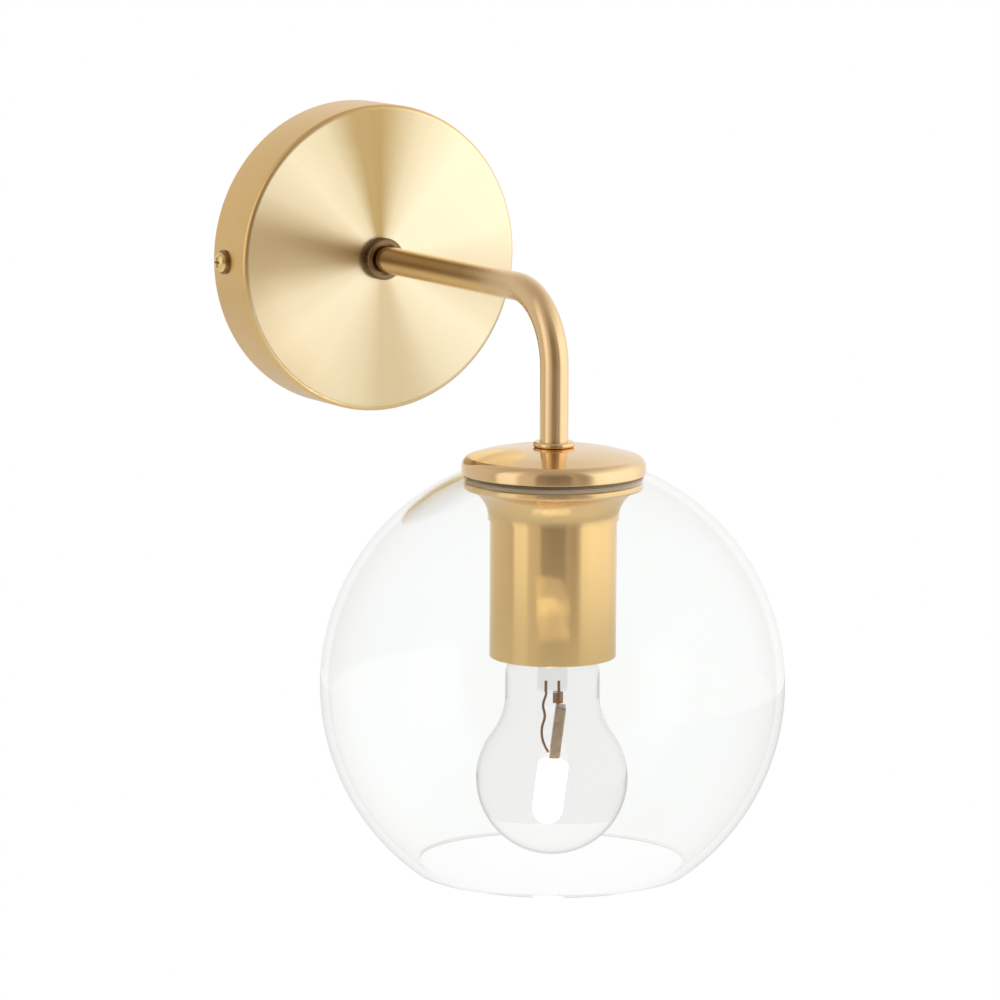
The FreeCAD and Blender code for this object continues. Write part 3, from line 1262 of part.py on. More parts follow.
def check(document, nodes):
    """Stop before anything is written if an object has failed or a node has no sound shape."""
    for item in document.Objects:
        if "Invalid" in item.State or "Error" in item.State:
            raise RuntimeError(f"{item.Label} did not build: {item.State}")
    for node in nodes:
        if node.Shape.isNull() or not node.Shape.isValid() or node.Shape.Volume <= 0:
            raise RuntimeError(f"{node.Label} has no sound shape")


def main():
    """Build the document and write one file for each node."""
    document = FreeCAD.newDocument("GlobeWallSconce")
    sizes = Sizes(document)
    heights = Stack(sizes)
    nodes = []
    for maker in MAKERS:
        made = maker(document, sizes, heights)
        nodes.extend(made if isinstance(made, list) else [made])
    document.recompute()
    check(document, nodes)
    os.makedirs("parts", exist_ok=True)
    for node in nodes:
        node.Shape.exportStep(f"parts/{node.Label}.step")
        print(f"{node.Label}: {len(node.Shape.Solids)} solids, {node.Shape.Volume:.2f} mm3")
    return nodes


NODES = main()
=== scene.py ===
"""Globe wall sconce, dressed for rendering: brushed brass, clear glass and a lit capsule lamp.

Lengths in the size classes are in millimetres, as on a workshop drawing, and every mesh is stored
in metres. Pieces are turned or bent in place, about the canopy's axis or the globe's axis, and most
of them take their heights from the frame's own nodes.
"""
import logging
import math
from dataclasses import dataclass, field
from enum import Enum

import bpy
from mathutils import Matrix, Vector


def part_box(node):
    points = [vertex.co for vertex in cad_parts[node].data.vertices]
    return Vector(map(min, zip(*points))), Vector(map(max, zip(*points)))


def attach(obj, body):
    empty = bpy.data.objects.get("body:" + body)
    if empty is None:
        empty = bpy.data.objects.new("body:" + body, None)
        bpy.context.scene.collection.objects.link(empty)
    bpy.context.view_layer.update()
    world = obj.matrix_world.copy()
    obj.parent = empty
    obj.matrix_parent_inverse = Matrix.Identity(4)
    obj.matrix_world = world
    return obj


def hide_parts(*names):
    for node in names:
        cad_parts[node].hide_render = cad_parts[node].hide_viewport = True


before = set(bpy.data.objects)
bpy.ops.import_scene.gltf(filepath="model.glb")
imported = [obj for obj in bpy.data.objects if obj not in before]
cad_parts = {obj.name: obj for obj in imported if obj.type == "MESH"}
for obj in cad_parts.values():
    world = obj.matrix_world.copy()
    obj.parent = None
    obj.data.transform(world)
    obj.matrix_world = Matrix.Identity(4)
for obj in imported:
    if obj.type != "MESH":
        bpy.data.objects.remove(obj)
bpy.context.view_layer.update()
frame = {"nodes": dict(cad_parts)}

LOG = logging.getLogger("sconce")
MM = 0.001
MM_IN_METRE = 1000.0
FULL_TURN = 2 * math.pi
NOISE_MIDDLE = 0.5
MERGE_DISTANCE = 1e-6
SMOOTH_ANGLE = math.radians(32.0)
# the sockets of a Mix node that is set to colours
MIX_FACTOR, MIX_FIRST, MIX_SECOND, MIX_RESULT = 0, 6, 7, 2
Outline = list[tuple[float, ...]]


# ---------------------------------------------------------------- shader writing

class Link:
    """A socket with arithmetic: each expression adds the Math nodes it needs."""

    def __init__(self, graph: "Graph", socket: bpy.types.NodeSocket) -> None:
        """Wrap one output socket of a graph."""
        self.graph = graph
        self.socket = socket

    def _math(self, operation: str, *values: "Link | float") -> "Link":
        """Add one Math node."""
        return self.graph.node("ShaderNodeMath", {"operation": operation}, dict(enumerate(values)))

    def __add__(self, other: "Link | float") -> "Link":
        """Sum."""
        return self._math("ADD", self, other)

    __radd__ = __add__

    def __sub__(self, other: "Link | float") -> "Link":
        """Difference."""
        return self._math("SUBTRACT", self, other)

    def __rsub__(self, other: float) -> "Link":
        """Reflected difference, so that 1 - mask works."""
        return self._math("SUBTRACT", other, self)

    def __mul__(self, other: "Link | float") -> "Link":
        """Product."""
        return self._math("MULTIPLY", self, other)

    __rmul__ = __mul__

    def __truediv__(self, other: "Link | float") -> "Link":
        """Quotient."""
        return self._math("DIVIDE", self, other)

    def power(self, exponent: float) -> "Link":
        """Raise to a power."""
        return self._math("POWER", self, exponent)

    def clamp(self) -> "Link":
        """Hold between nought and one."""
        return self.graph.node("ShaderNodeClamp", {}, {"Value": self})

    def maximum(self, other: "Link | float") -> "Link":
        """The larger of two."""
        return self._math("MAXIMUM", self, other)

    def above(self, level: float) -> "Link":
        """How far the value is over a level, and nought below it."""
        return (self - level).maximum(0.0)

    def swing(self, width: float) -> "Link":
        """A noise value as a swing of this width about nought."""
        return (self - NOISE_MIDDLE) * width

    def angle_to(self, other: "Link") -> "Link":
        """Angle whose tangent is self over other."""
        return self._math("ARCTAN2", self, other)

    def wrap(self, high: float, low: float) -> "Link":
        """Wrap into a range."""
        return self._math("WRAP", self, high, low)

    def length_with(self, other: "Link") -> "Link":
        """Hypotenuse of two values."""
        return (self * self + other * other).power(0.5)


class Graph:
    """Writes nodes into one node tree."""

    def __init__(self, tree: bpy.types.NodeTree) -> None:
        """Start from an empty tree."""
        self.tree = tree
        tree.nodes.clear()

    def node(self, kind: str, settings: dict, inputs: dict,
             output: int | str | None = 0) -> Link | None:
        """Add one node.

        Args:
            kind: the node's type name.
            settings: properties that are set first; "stops" fills a colour ramp.
            inputs: socket name or index to a number, tuple or Link.
            output: which output to return, or None for a node that has none.

        Returns:
            The chosen output.
        """
        made = self.tree.nodes.new(kind)
        for name, value in settings.items():
            if name == "stops":
                self._fill_ramp(made.color_ramp, value)
            else:
                setattr(made, name, value)
        for name, value in inputs.items():
            if isinstance(value, Link):
                self.tree.links.new(value.socket, made.inputs[name])
            else:
                made.inputs[name].default_value = value
        return None if output is None else Link(self, made.outputs[output])

    @staticmethod
    def _fill_ramp(ramp: bpy.types.ColorRamp, stops: list[tuple[float, tuple]]) -> None:
        """Set a colour ramp's stops.

        Args:
            ramp: the node's ramp.
            stops: place from 0 to 1, and red, green and blue there.
        """
        while len(ramp.elements) > 1:
            ramp.elements.remove(ramp.elements[-1])
        for index, (place, colour) in enumerate(stops):
            element = ramp.elements[0] if index == 0 else ramp.elements.new(place)
            element.position = place
            element.color = (*colour, 1.0)

    @staticmethod
    def _opaque(colour: Link | tuple) -> Link | tuple:
        """A colour as a socket takes it: a link as it is, and a plain one with its alpha."""
        return colour if isinstance(colour, Link) else (*colour, 1.0)

    def ramp(self, factor: Link, stops: list[tuple[float, tuple]]) -> Link:
        """Colour ramp over a factor."""
        return self.node("ShaderNodeValToRGB", {"stops": stops}, {"Fac": factor})

    def grey_ramp(self, factor: Link, stops: list[tuple[float, float]]) -> Link:
        """Ramp of plain values over a factor."""
        greys = self.ramp(factor, [(place, (value, value, value)) for place, value in stops])
        return self.node("ShaderNodeSeparateColor", {}, {"Color": greys})

    def noise(self, vector: Link, scale: float, detail: float = 3.0,
              roughness: float = 0.55) -> Link:
        """Noise value at a vector."""
        inputs = {"Vector": vector, "Scale": scale, "Detail": detail, "Roughness": roughness}
        return self.node("ShaderNodeTexNoise", {}, inputs, "Fac")

    def object_point(self) -> Link:
        """Object coordinates as a vector."""
        return self.node("ShaderNodeTexCoord", {}, {}, "Object")

    def axes(self, vector: Link) -> tuple[Link, Link, Link]:
        """The x, y and z of a vector."""
        return tuple(self.node("ShaderNodeSeparateXYZ", {}, {"Vector": vector}, axis)
                     for axis in range(3))

    def vector(self, x: Link | float, y: Link | float, z: Link | float) -> Link:
        """Vector from three values."""
        return self.node("ShaderNodeCombineXYZ", {}, {"X": x, "Y": y, "Z": z})

    def tint(self, colour: Link | tuple, amount: Link) -> Link:
        """A colour multiplied by a grey amount."""
        grey = self.vector(amount, amount, amount)
        return self.node("ShaderNodeMix", {"data_type": "RGBA", "blend_type": "MULTIPLY"},
                         {MIX_FACTOR: 1.0, MIX_FIRST: self._opaque(colour), MIX_SECOND: grey},
                         MIX_RESULT)

    def blend(self, factor: Link, first: Link | tuple, second: Link | tuple) -> Link:
        """Mix of two colours."""
        ends = {MIX_FIRST: self._opaque(first), MIX_SECOND: self._opaque(second)}
        return self.node("ShaderNodeMix", {"data_type": "RGBA"}, {MIX_FACTOR: factor, **ends},
                         MIX_RESULT)

    def bump(self, height: Link, strength: float, depth_mm: float) -> Link:
        """Bump normal from a height."""
        inputs = {"Height": height, "Strength": strength, "Distance": depth_mm * MM}
        return self.node("ShaderNodeBump", {}, inputs, "Normal")

    def ray(self, fact: str) -> Link:
        """One fact about the ray that meets the surface."""
        return self.node("ShaderNodeLightPath", {}, {}, fact)

    def choose(self, factor: Link, first: Link, second: Link) -> Link:
        """Mix of two shaders."""
        return self.node("ShaderNodeMixShader", {}, {0: factor, 1: first, 2: second})

    def principled(self, inputs: dict) -> Link:
        """The general surface shader."""
        return self.node("ShaderNodeBsdfPrincipled", {}, inputs)

    def surface(self, shader: Link) -> None:
        """Join a shader to the material's output."""
        self.node("ShaderNodeOutputMaterial", {}, {"Surface": shader}, None)


def new_material(name: str) -> tuple[bpy.types.Material, Graph]:
    """Start a material with an empty node tree.

    Args:
        name: the material's name.

    Returns:
        The material, and the graph that writes its nodes.
    """
    made = bpy.data.materials.new(name)
    made.use_nodes = True
    return made, Graph(made.node_tree)


# ---------------------------------------------------------------- finishes

class Grain(Enum):
    """Which way a metal's working marks run."""

    TURNED_ON_GLOBE_AXIS = "turned about the upright axis"
    TURNED_ON_CANOPY_AXIS = "turned about the wall axis"
    DRAWN = "drawn lengthwise"
    NONE = "no direction"


@dataclass(frozen=True)
class Metal:
    """A metal with fine working marks, tarnish in broad patches, small dark specks and, if given, a
    painted reflection.
    """

    name: str
    colour: tuple
    roughness: float
    grain: Grain = Grain.NONE
    marks_per_mm: float = 4.0
    mark_depth: float = 0.012
    mark_shade: float = 0.10
    patch_shade: float = 0.06
    # painted reflection: the light and dark wedges that a face brushed in circles shows, and their
    # two colours
    painted_reflection: tuple = ()
    painted_reflection_colours: tuple = ()
    axis_point: tuple = (0.0, 0.0, 0.0)
    anisotropy: float = 0.0
    highlight_turn: float = 0.25
    groove_strength: float = 0.25
    rough_swing: float = 0.10
    drawn_per_metre: float = 40.0
    patches_per_metre: float = 38.0
    specks_per_metre: float = 900.0
    speck_level: float = 0.66
    speck_shade: float = 0.5
    # the painted reflection: where on the face it starts, how fast it fades in, how much its edges
    # waver, and how many fine lines cross it and how deep
    painted_reflection_from_mm: float = 26.5
    painted_reflection_fade_mm: float = 0.5
    painted_reflection_waver: float = 0.012
    reflection_streaks: float = 60.0
    reflection_streak_depth: float = 0.07

    def material(self) -> bpy.types.Material:
        """Build the material.

        Returns:
            The material.
        """
        made, graph = new_material(self.name)
        whole = graph.object_point()
        x, y, z = (value - offset for value, offset in zip(graph.axes(whole), self.axis_point))
        marks = graph.noise(self._track(graph, x, y, z), 1.0, 4.0, 0.65)
        patches = graph.noise(whole, self.patches_per_metre, 4.0)
        specks = graph.noise(whole, self.specks_per_metre, 2.0)
        shade = 1.0 + marks.swing(self.mark_shade) + patches.swing(self.patch_shade)
        shade = shade - specks.above(self.speck_level) * self.speck_shade
        colour = graph.tint(self.colour, shade)
        # on the flat face, painted reflection: light and dark wedges round the axis, blended into
        # the colour
        if self.painted_reflection:
            turn = x.angle_to(z) / FULL_TURN + 0.5
            on_face = ((y * -1.0 - self.painted_reflection_from_mm * MM) * (1 / (self.painted_reflection_fade_mm * MM))).clamp()
            painted_reflection = graph.blend(self._painted_reflection_level(graph, turn, patches), *self.painted_reflection_colours)
            colour = graph.tint(graph.blend(on_face, colour, painted_reflection), shade)
        rough = self.roughness + marks.swing(self.rough_swing) + patches.swing(self.rough_swing)
        graph.surface(graph.principled({
            "Base Color": colour, "Metallic": 1.0, "Roughness": rough.clamp(),
            "Anisotropic": self.anisotropy, "Anisotropic Rotation": self.highlight_turn,
            "Normal": graph.bump(marks, self.groove_strength, self.mark_depth)}))
        return made

    def _track(self, graph: Graph, x: Link, y: Link, z: Link) -> Link:
        """Stretch space the way that the working marks run.

        Args:
            graph: the material's graph.
            x: place along X, from the axis point.
            y: place along Y, from the axis point.
            z: place along Z, from the axis point.

        Returns:
            The vector at which the marks' noise is read.
        """
        per_metre = self.marks_per_mm * MM_IN_METRE
        if self.grain is Grain.TURNED_ON_CANOPY_AXIS:
            return graph.vector(x.length_with(z) * per_metre, y * per_metre, 0.0)
        if self.grain is Grain.TURNED_ON_GLOBE_AXIS:
            return graph.vector(x.length_with(y) * per_metre, 0.0, z * per_metre)
        if self.grain is Grain.DRAWN:
            return graph.vector(x * per_metre, y * self.drawn_per_metre, z * self.drawn_per_metre)
        return graph.vector(x * per_metre, y * per_metre, z * per_metre)

    def _painted_reflection_level(self, graph: Graph, turn: Link, patches: Link) -> Link:
        """Painted reflection: how light or dark the wedges are that a face brushed in circles shows.

        Args:
            graph: the material's graph.
            turn: share of a turn round the face.
            patches: noise that makes the painted reflection's edges waver.

        Returns:
            Nought for the dark painted reflection colour, and one for the pale one.
        """
        reflection_streaks = graph.noise(graph.vector(turn * self.reflection_streaks, 0.0, 0.0), 1.0, 3.0)
        reflection_level = graph.grey_ramp(turn + patches.swing(self.painted_reflection_waver), list(self.painted_reflection))
        return (reflection_level + reflection_streaks.swing(self.reflection_streak_depth)).clamp()


@dataclass(frozen=True)
class ClearGlass:
    """Clear glass with a faint draw wave and a little dust; shadow rays pass straight through."""

    name: str
    colour: tuple
    wave: float
    ior: float
    waves_per_metre: float = 14.0
    dust_per_metre: float = 600.0
    dust_level: float = 0.62
    dust_rough: float = 0.06
    bends_up_to: float = 4.5
    straight_rise: float = 9.0
    straight_colour: tuple = (0.96, 0.96, 0.96, 1.0)

    def material(self) -> bpy.types.Material:
        """Build the material.

        Returns:
            The material. A ray that has met many surfaces passes straight through it too.
        """
        made, graph = new_material(self.name)
        whole = graph.object_point()
        wave = graph.noise(whole, self.waves_per_metre, 1.0)
        dust = graph.noise(whole, self.dust_per_metre, 3.0)
        glass = graph.principled({
            "Base Color": (*self.colour, 1.0), "IOR": self.ior, "Transmission Weight": 1.0,
            "Roughness": dust.above(self.dust_level) * self.dust_rough,
            "Normal": graph.bump(wave, self.wave, 1.0)})
        deep = graph.ray("Ray Depth").above(self.bends_up_to) * self.straight_rise
        clear = graph.node("ShaderNodeBsdfTransparent", {}, {"Color": self.straight_colour})
        graph.surface(graph.choose((graph.ray("Is Shadow Ray") + deep).clamp(), glass, clear))
        return made


@dataclass(frozen=True)
class LitGlass:
    """The capsule: its tube glows, most where it faces the eye, and its pinch stays dim."""

    name: str
    glow_from_mm: float
    strength: float
    fade_mm: float = 4.0
    rim_glow: float = 0.03
    light: tuple = (1.0, 0.93, 0.80)
    dim_colours: tuple = ((0.34, 0.24, 0.15), (0.52, 0.38, 0.24))
    grains_per_metre: float = 400.0
    roughness: float = 0.18
    grain_rough: float = 0.2

    def material(self) -> bpy.types.Material:
        """Build the material.

        Returns:
            The material.
        """
        made, graph = new_material(self.name)
        whole = graph.object_point()
        _, _, z = graph.axes(whole)
        lit = ((self.glow_from_mm * MM - z) * (1 / (self.fade_mm * MM))).clamp()
        grain = graph.noise(whole, self.grains_per_metre, 2.0)
        facing = graph.node("ShaderNodeLayerWeight", {}, {"Blend": 0.5}, "Facing")
        core = (1.0 - facing).power(2.0) * (1.0 - self.rim_glow) + self.rim_glow
        graph.surface(graph.principled({
            "Base Color": graph.blend(grain, *self.dim_colours),
            "Roughness": self.roughness + grain * self.grain_rough,
            "Emission Color": graph.blend(lit * core, (0.0, 0.0, 0.0), self.light),
            "Emission Strength": self.strength}))
        return made


@dataclass(frozen=True)
class Moulded:
    """Plastic, rubber, porcelain or insulation with a fine surface texture."""

    name: str
    colour: tuple
    roughness: float
    speckle: float = 0.08
    texture_mm: float = 0.25
    depth_mm: float = 0.02
    stripe: tuple = ()
    texture_fineness: float = 0.5
    clouds_per_metre: float = 60.0
    rough_swing: float = 0.12
    bump_strength: float = 0.3
    stripe_edge: float = 6.0

    def material(self) -> bpy.types.Material:
        """Build the material.

        Returns:
            The material.
        """
        made, graph = new_material(self.name)
        whole = graph.object_point()
        texture = graph.noise(whole, MM_IN_METRE / self.texture_mm * self.texture_fineness, 3.0)
        clouds = graph.noise(whole, self.clouds_per_metre, 3.0)
        shade = 1.0 + texture.swing(self.speckle) + clouds.swing(self.speckle)
        colour = graph.tint(self.colour, shade)
        if self.stripe:
            x, y, z = graph.axes(whole)
            along = (x.angle_to(y - z) * self.stripe_edge).clamp()
            colour = graph.blend(along, colour, self.stripe)
        rough = self.roughness + clouds.swing(self.rough_swing)
        graph.surface(graph.principled({
            "Base Color": colour, "Roughness": rough.clamp(),
            "Normal": graph.bump(texture, self.bump_strength, self.depth_mm)}))
        return made


GLOBE_AXIS = (0.0, -0.166, 0.0)
BRASS = (0.82, 0.56, 0.24)
PALE_BRASS = (0.84, 0.61, 0.34)
# painted reflection of a disc brushed in circles: share of a turn from straight down, and how light
# it is there
CANOPY_PAINTED_REFLECTION = (
    (0.00, 0.48), (0.035, 0.70), (0.09, 0.92), (0.15, 1.00), (0.20, 0.86), (0.245, 0.40),
    (0.29, 0.32), (0.335, 0.74), (0.38, 0.90), (0.43, 0.68), (0.465, 0.14), (0.50, 0.10),
    (0.55, 0.68), (0.61, 1.00), (0.72, 1.00), (0.77, 0.72), (0.80, 0.66), (0.85, 0.96),
    (0.91, 0.84), (0.96, 0.50), (1.00, 0.48),
)
# the dark and the pale colour of the canopy's painted reflection
PAINTED_REFLECTION_COLOURS = ((0.46, 0.30, 0.095), (1.0, 0.89, 0.63))

# a metal's numbers: roughness, marks in a millimetre, their depth and shade, the patches' shade, and
# for the canopy its painted reflection and that reflection's colours
FINISHES = {finish.name: finish for finish in (
    Metal("canopy_brass", BRASS, 0.30, Grain.TURNED_ON_CANOPY_AXIS, 4.0, 0.012, 0.20, 0.06,
          CANOPY_PAINTED_REFLECTION, PAINTED_REFLECTION_COLOURS),
    Metal("arm_brass", PALE_BRASS, 0.20, Grain.DRAWN, 6.0, 0.006, 0.06, 0.05),
    Metal("cover_brass", BRASS, 0.17, Grain.TURNED_ON_GLOBE_AXIS, 4.0, 0.006, 0.16, 0.05,
          axis_point=GLOBE_AXIS, anisotropy=0.95),
    Metal("cap_brass", PALE_BRASS, 0.13, Grain.TURNED_ON_GLOBE_AXIS, 4.0, 0.004, 0.08, 0.04,
          axis_point=GLOBE_AXIS, anisotropy=0.8),
    Metal("bronze", (0.27, 0.18, 0.09), 0.33, Grain.NONE, 3.0, 0.02, 0.35, 0.30),
    Metal("zinc", (0.62, 0.63, 0.62), 0.38, Grain.NONE, 1.5, 0.01, 0.10, 0.22),
    Metal("nickel", (0.70, 0.67, 0.60), 0.22, Grain.TURNED_ON_GLOBE_AXIS, 5.0, 0.006, 0.08, 0.06,
          axis_point=GLOBE_AXIS),
    Metal("bright_brass", (0.88, 0.66, 0.30), 0.25, Grain.NONE, 3.0, 0.01, 0.10, 0.12),
    Metal("tinned", (0.74, 0.66, 0.57), 0.34, Grain.NONE, 3.0, 0.01, 0.12, 0.15),
    Metal("hot_metal", (0.36, 0.22, 0.12), 0.40, Grain.NONE, 2.0, 0.02, 0.30, 0.35),
    ClearGlass("globe_glass", (0.985, 0.994, 0.988), 0.02, 1.32),
    ClearGlass("bulb_glass", (0.998, 0.994, 0.988), 0.01, 1.14),
    Moulded("silicone", (0.50, 0.39, 0.26), 0.35, 0.05, 0.4),
    Moulded("black", (0.018, 0.017, 0.016), 0.48, 0.25, 0.3),
    Moulded("porcelain", (0.80, 0.78, 0.72), 0.55, 0.06, 0.2),
    Moulded("nylon", (0.74, 0.71, 0.62), 0.42, 0.05, 0.3),
    Moulded("brown_wire", (0.14, 0.06, 0.03), 0.38),
    Moulded("blue_wire", (0.03, 0.11, 0.42), 0.38),
    Moulded("earth_wire", (0.10, 0.36, 0.06), 0.38, 0.05, stripe=(0.85, 0.72, 0.05)),
)}

CAD_FINISHES = {
    "wall_bracket": "zinc", "canopy_screws": "bright_brass", "canopy_screw_washers": "bronze",
    "terminal_block": "nylon", "terminal_tubes": "bright_brass", "terminal_screws": "zinc",
    "terminal_block_screw": "zinc", "earth_tag": "tinned", "earth_screw": "bright_brass",
    "arm_lock_ring": "bronze", "wall_nipple": "zinc", "wall_washer": "zinc", "wall_nut": "zinc",
    "lower_nipple": "zinc", "cover_washer": "zinc", "cover_nut": "zinc", "holder_dome": "black",
    "holder_insert": "porcelain", "centre_contact": "bright_brass",
    "holder_terminals": "bright_brass", "holder_terminal_screws": "zinc",
    "holder_shell": "nickel", "lamp_contact": "bright_brass", "lamp_insulator": "black",
    "lamp_shell": "nickel", "lamp_filament": "hot_metal", "lamp_leads": "hot_metal",
    "wire_live": "brown_wire", "wire_neutral": "blue_wire", "wire_earth": "earth_wire",
}


class Workshop:
    """Holds the materials, and dresses nodes and pieces with them."""

    def __init__(self, nodes: dict[str, bpy.types.Object]) -> None:
        """Build every finish once."""
        self.nodes = nodes
        self.materials = {name: finish.material() for name, finish in FINISHES.items()}

    def dress(self, dressed: bpy.types.Object, finish: str) -> None:
        """Give an object one material in place of those it has."""
        dressed.data.materials.clear()
        dressed.data.materials.append(self.materials[finish])

    def dress_frame(self) -> None:
        """Give each node of the frame that stays in view its finish."""
        for name, finish in CAD_FINISHES.items():
            self.dress(self.nodes[name], finish)
            LOG.info("dressed %s in %s", name, finish)

    def finish_piece(self, piece: bpy.types.Object, finish: str, slot: str, body: str,
                     *nodes: str) -> None:
        """Give a piece its material and body, and let it stand for its nodes.

        Args:
            piece: the finished object.
            finish: a name among the materials.
            slot: a material slot name; not used.
            body: the body that carries it.
            nodes: the frame's nodes that it replaces.
        """
        self.dress(piece, finish)
        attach(piece, body)
        if nodes:
            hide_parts(*nodes)
        LOG.info("made %s with %d faces", piece.name, len(piece.data.polygons))


# ---------------------------------------------------------------- modelling by operators

def on_globe_axis(height: float) -> Vector:
    """Point of the globe's axis at a height in metres."""
    return Vector((0, GLOBE_AXIS[1], height))


def arc_points(start: Vector, end: Vector, radius: float, step_degrees: float) -> list[Vector]:
    """Points of the short arc from start to end, without its start.

    Args:
        start: first point.
        end: last point.
        radius: positive turns left, negative right.
        step_degrees: largest turn between points.

    Returns:
        The points, ending at end.
    """
    chord = end - start
    half = chord.length / 2
    height = math.sqrt(max(radius * radius - half * half, 0.0))
    left = Vector((-chord.y, chord.x)).normalized()
    centre = start + chord / 2 + left * math.copysign(height, radius)
    sweep = 2 * math.asin(min(1.0, half / abs(radius))) * math.copysign(1.0, radius)
    count = max(2, math.ceil(abs(math.degrees(sweep)) / step_degrees))
    spoke = start - centre
    return [centre + Matrix.Rotation(sweep * k / count, 2) @ spoke for k in range(1, count + 1)]


def trace(outline: Outline, step_degrees: float) -> list[Vector]:
    """Turn an outline into a closed run of points.

    Args:
        outline: steps of (radius, height) for a line or (radius, height, arc radius) for an arc.
        step_degrees: largest turn between the points of an arc.

    Returns:
        The points, ending at the first one.
    """
    spots = [Vector(step[:2]) for step in outline]
    points = [spots[0]]
    for index in range(1, len(outline) + 1):
        step = outline[index % len(outline)]
        end = spots[index % len(outline)]
        if len(step) > 2:
            points.extend(arc_points(points[-1], end, step[2], step_degrees))
        else:
            points.append(end)
    return points


def new_point(name: str, place: Vector) -> bpy.types.Object:
    """Start a piece as a single point in edit mode, with its object at the origin.

    Args:
        name: the piece's name.
        place: where the point lies, in metres.

    Returns:
        The piece.
    """
    bpy.ops.object.select_all(action="DESELECT")
    bpy.ops.mesh.primitive_plane_add(size=MM, location=place)
    piece = bpy.context.object
    piece.name = name
    piece.data.name = name
    bpy.ops.object.transform_apply(location=True, rotation=True, scale=True)
    bpy.ops.object.mode_set(mode="EDIT")
    bpy.ops.mesh.select_all(action="SELECT")
    bpy.ops.mesh.merge(type="CENTER")
    return piece


def close_piece(piece: bpy.types.Object) -> bpy.types.Object:
    """Merge doubles, point the faces outwards and shade smooth up to an angle.

    Args:
        piece: the object that is in edit mode.

    Returns:
        The same object, in object mode.
    """
    bpy.ops.mesh.select_all(action="SELECT")
    bpy.ops.mesh.remove_doubles(threshold=MERGE_DISTANCE)
    bpy.ops.mesh.normals_make_consistent(inside=False)
    bpy.ops.object.mode_set(mode="OBJECT")
    bpy.ops.object.select_all(action="DESELECT")
    piece.select_set(True)
    bpy.context.view_layer.objects.active = piece
    bpy.ops.object.shade_smooth_by_angle(angle=SMOOTH_ANGLE)
    piece.select_set(False)
    return piece


def turn(name: str, outline: Outline, centre: Vector, wall_axis: bool = False, steps: int = 96,
         step_degrees: float = 6.0) -> bpy.types.Object:
    """Turn an outline about an upright axis, or about the wall axis.

    Args:
        name: the piece's name.
        outline: closed outline in millimetres.
        centre: where the outline's zero lies, in metres.
        wall_axis: heights run out from the wall in place of up.
        steps: divisions round the axis.
        step_degrees: fineness of arcs in the outline.

    Returns:
        The piece.
    """
    out = Vector((1, 0, 0))
    along = Vector((0, -1, 0)) if wall_axis else Vector((0, 0, 1))
    places = [centre + (out * p.x + along * p.y) * MM for p in trace(outline, step_degrees)]
    piece = new_point(name, places[0])
    for before, after in zip(places, places[1:]):
        bpy.ops.mesh.extrude_region_move(TRANSFORM_OT_translate={"value": after - before})
    bpy.ops.mesh.select_all(action="SELECT")
    bpy.ops.mesh.spin(steps=steps, angle=FULL_TURN, center=centre, axis=along)
    return close_piece(piece)


# ---------------------------------------------------------------- the light's pieces

@dataclass
class CanopyPieces:
    """Spun canopy cup."""

    radius: float = 62.5
    depth: float = 27.0
    wall: float = 1.2
    edge: float = 2.2
    rim_round: float = 0.3
    hole: float = 4.25

    def build(self, shop: Workshop) -> None:
        """Make and dress the canopy.

        Args:
            shop: the workshop that dresses it.
        """
        inner = self.radius - self.wall
        back = self.depth - self.wall
        inner_edge = self.edge - self.wall
        outline = [
            (inner, 0.0), (inner + self.rim_round, 0.0), (self.radius - self.rim_round, 0.0),
            (self.radius, self.rim_round, self.rim_round), (self.radius, self.depth - self.edge),
            (self.radius - self.edge, self.depth, self.edge), (self.hole, self.depth),
            (self.hole, back), (inner - inner_edge, back), (inner, back - inner_edge, -inner_edge),
        ]
        piece = turn("canopy_cup", outline, Vector((0, 0, 0)), wall_axis=True, steps=160)
        shop.finish_piece(piece, "canopy_brass", "brushed_brass", "fixture", "canopy")


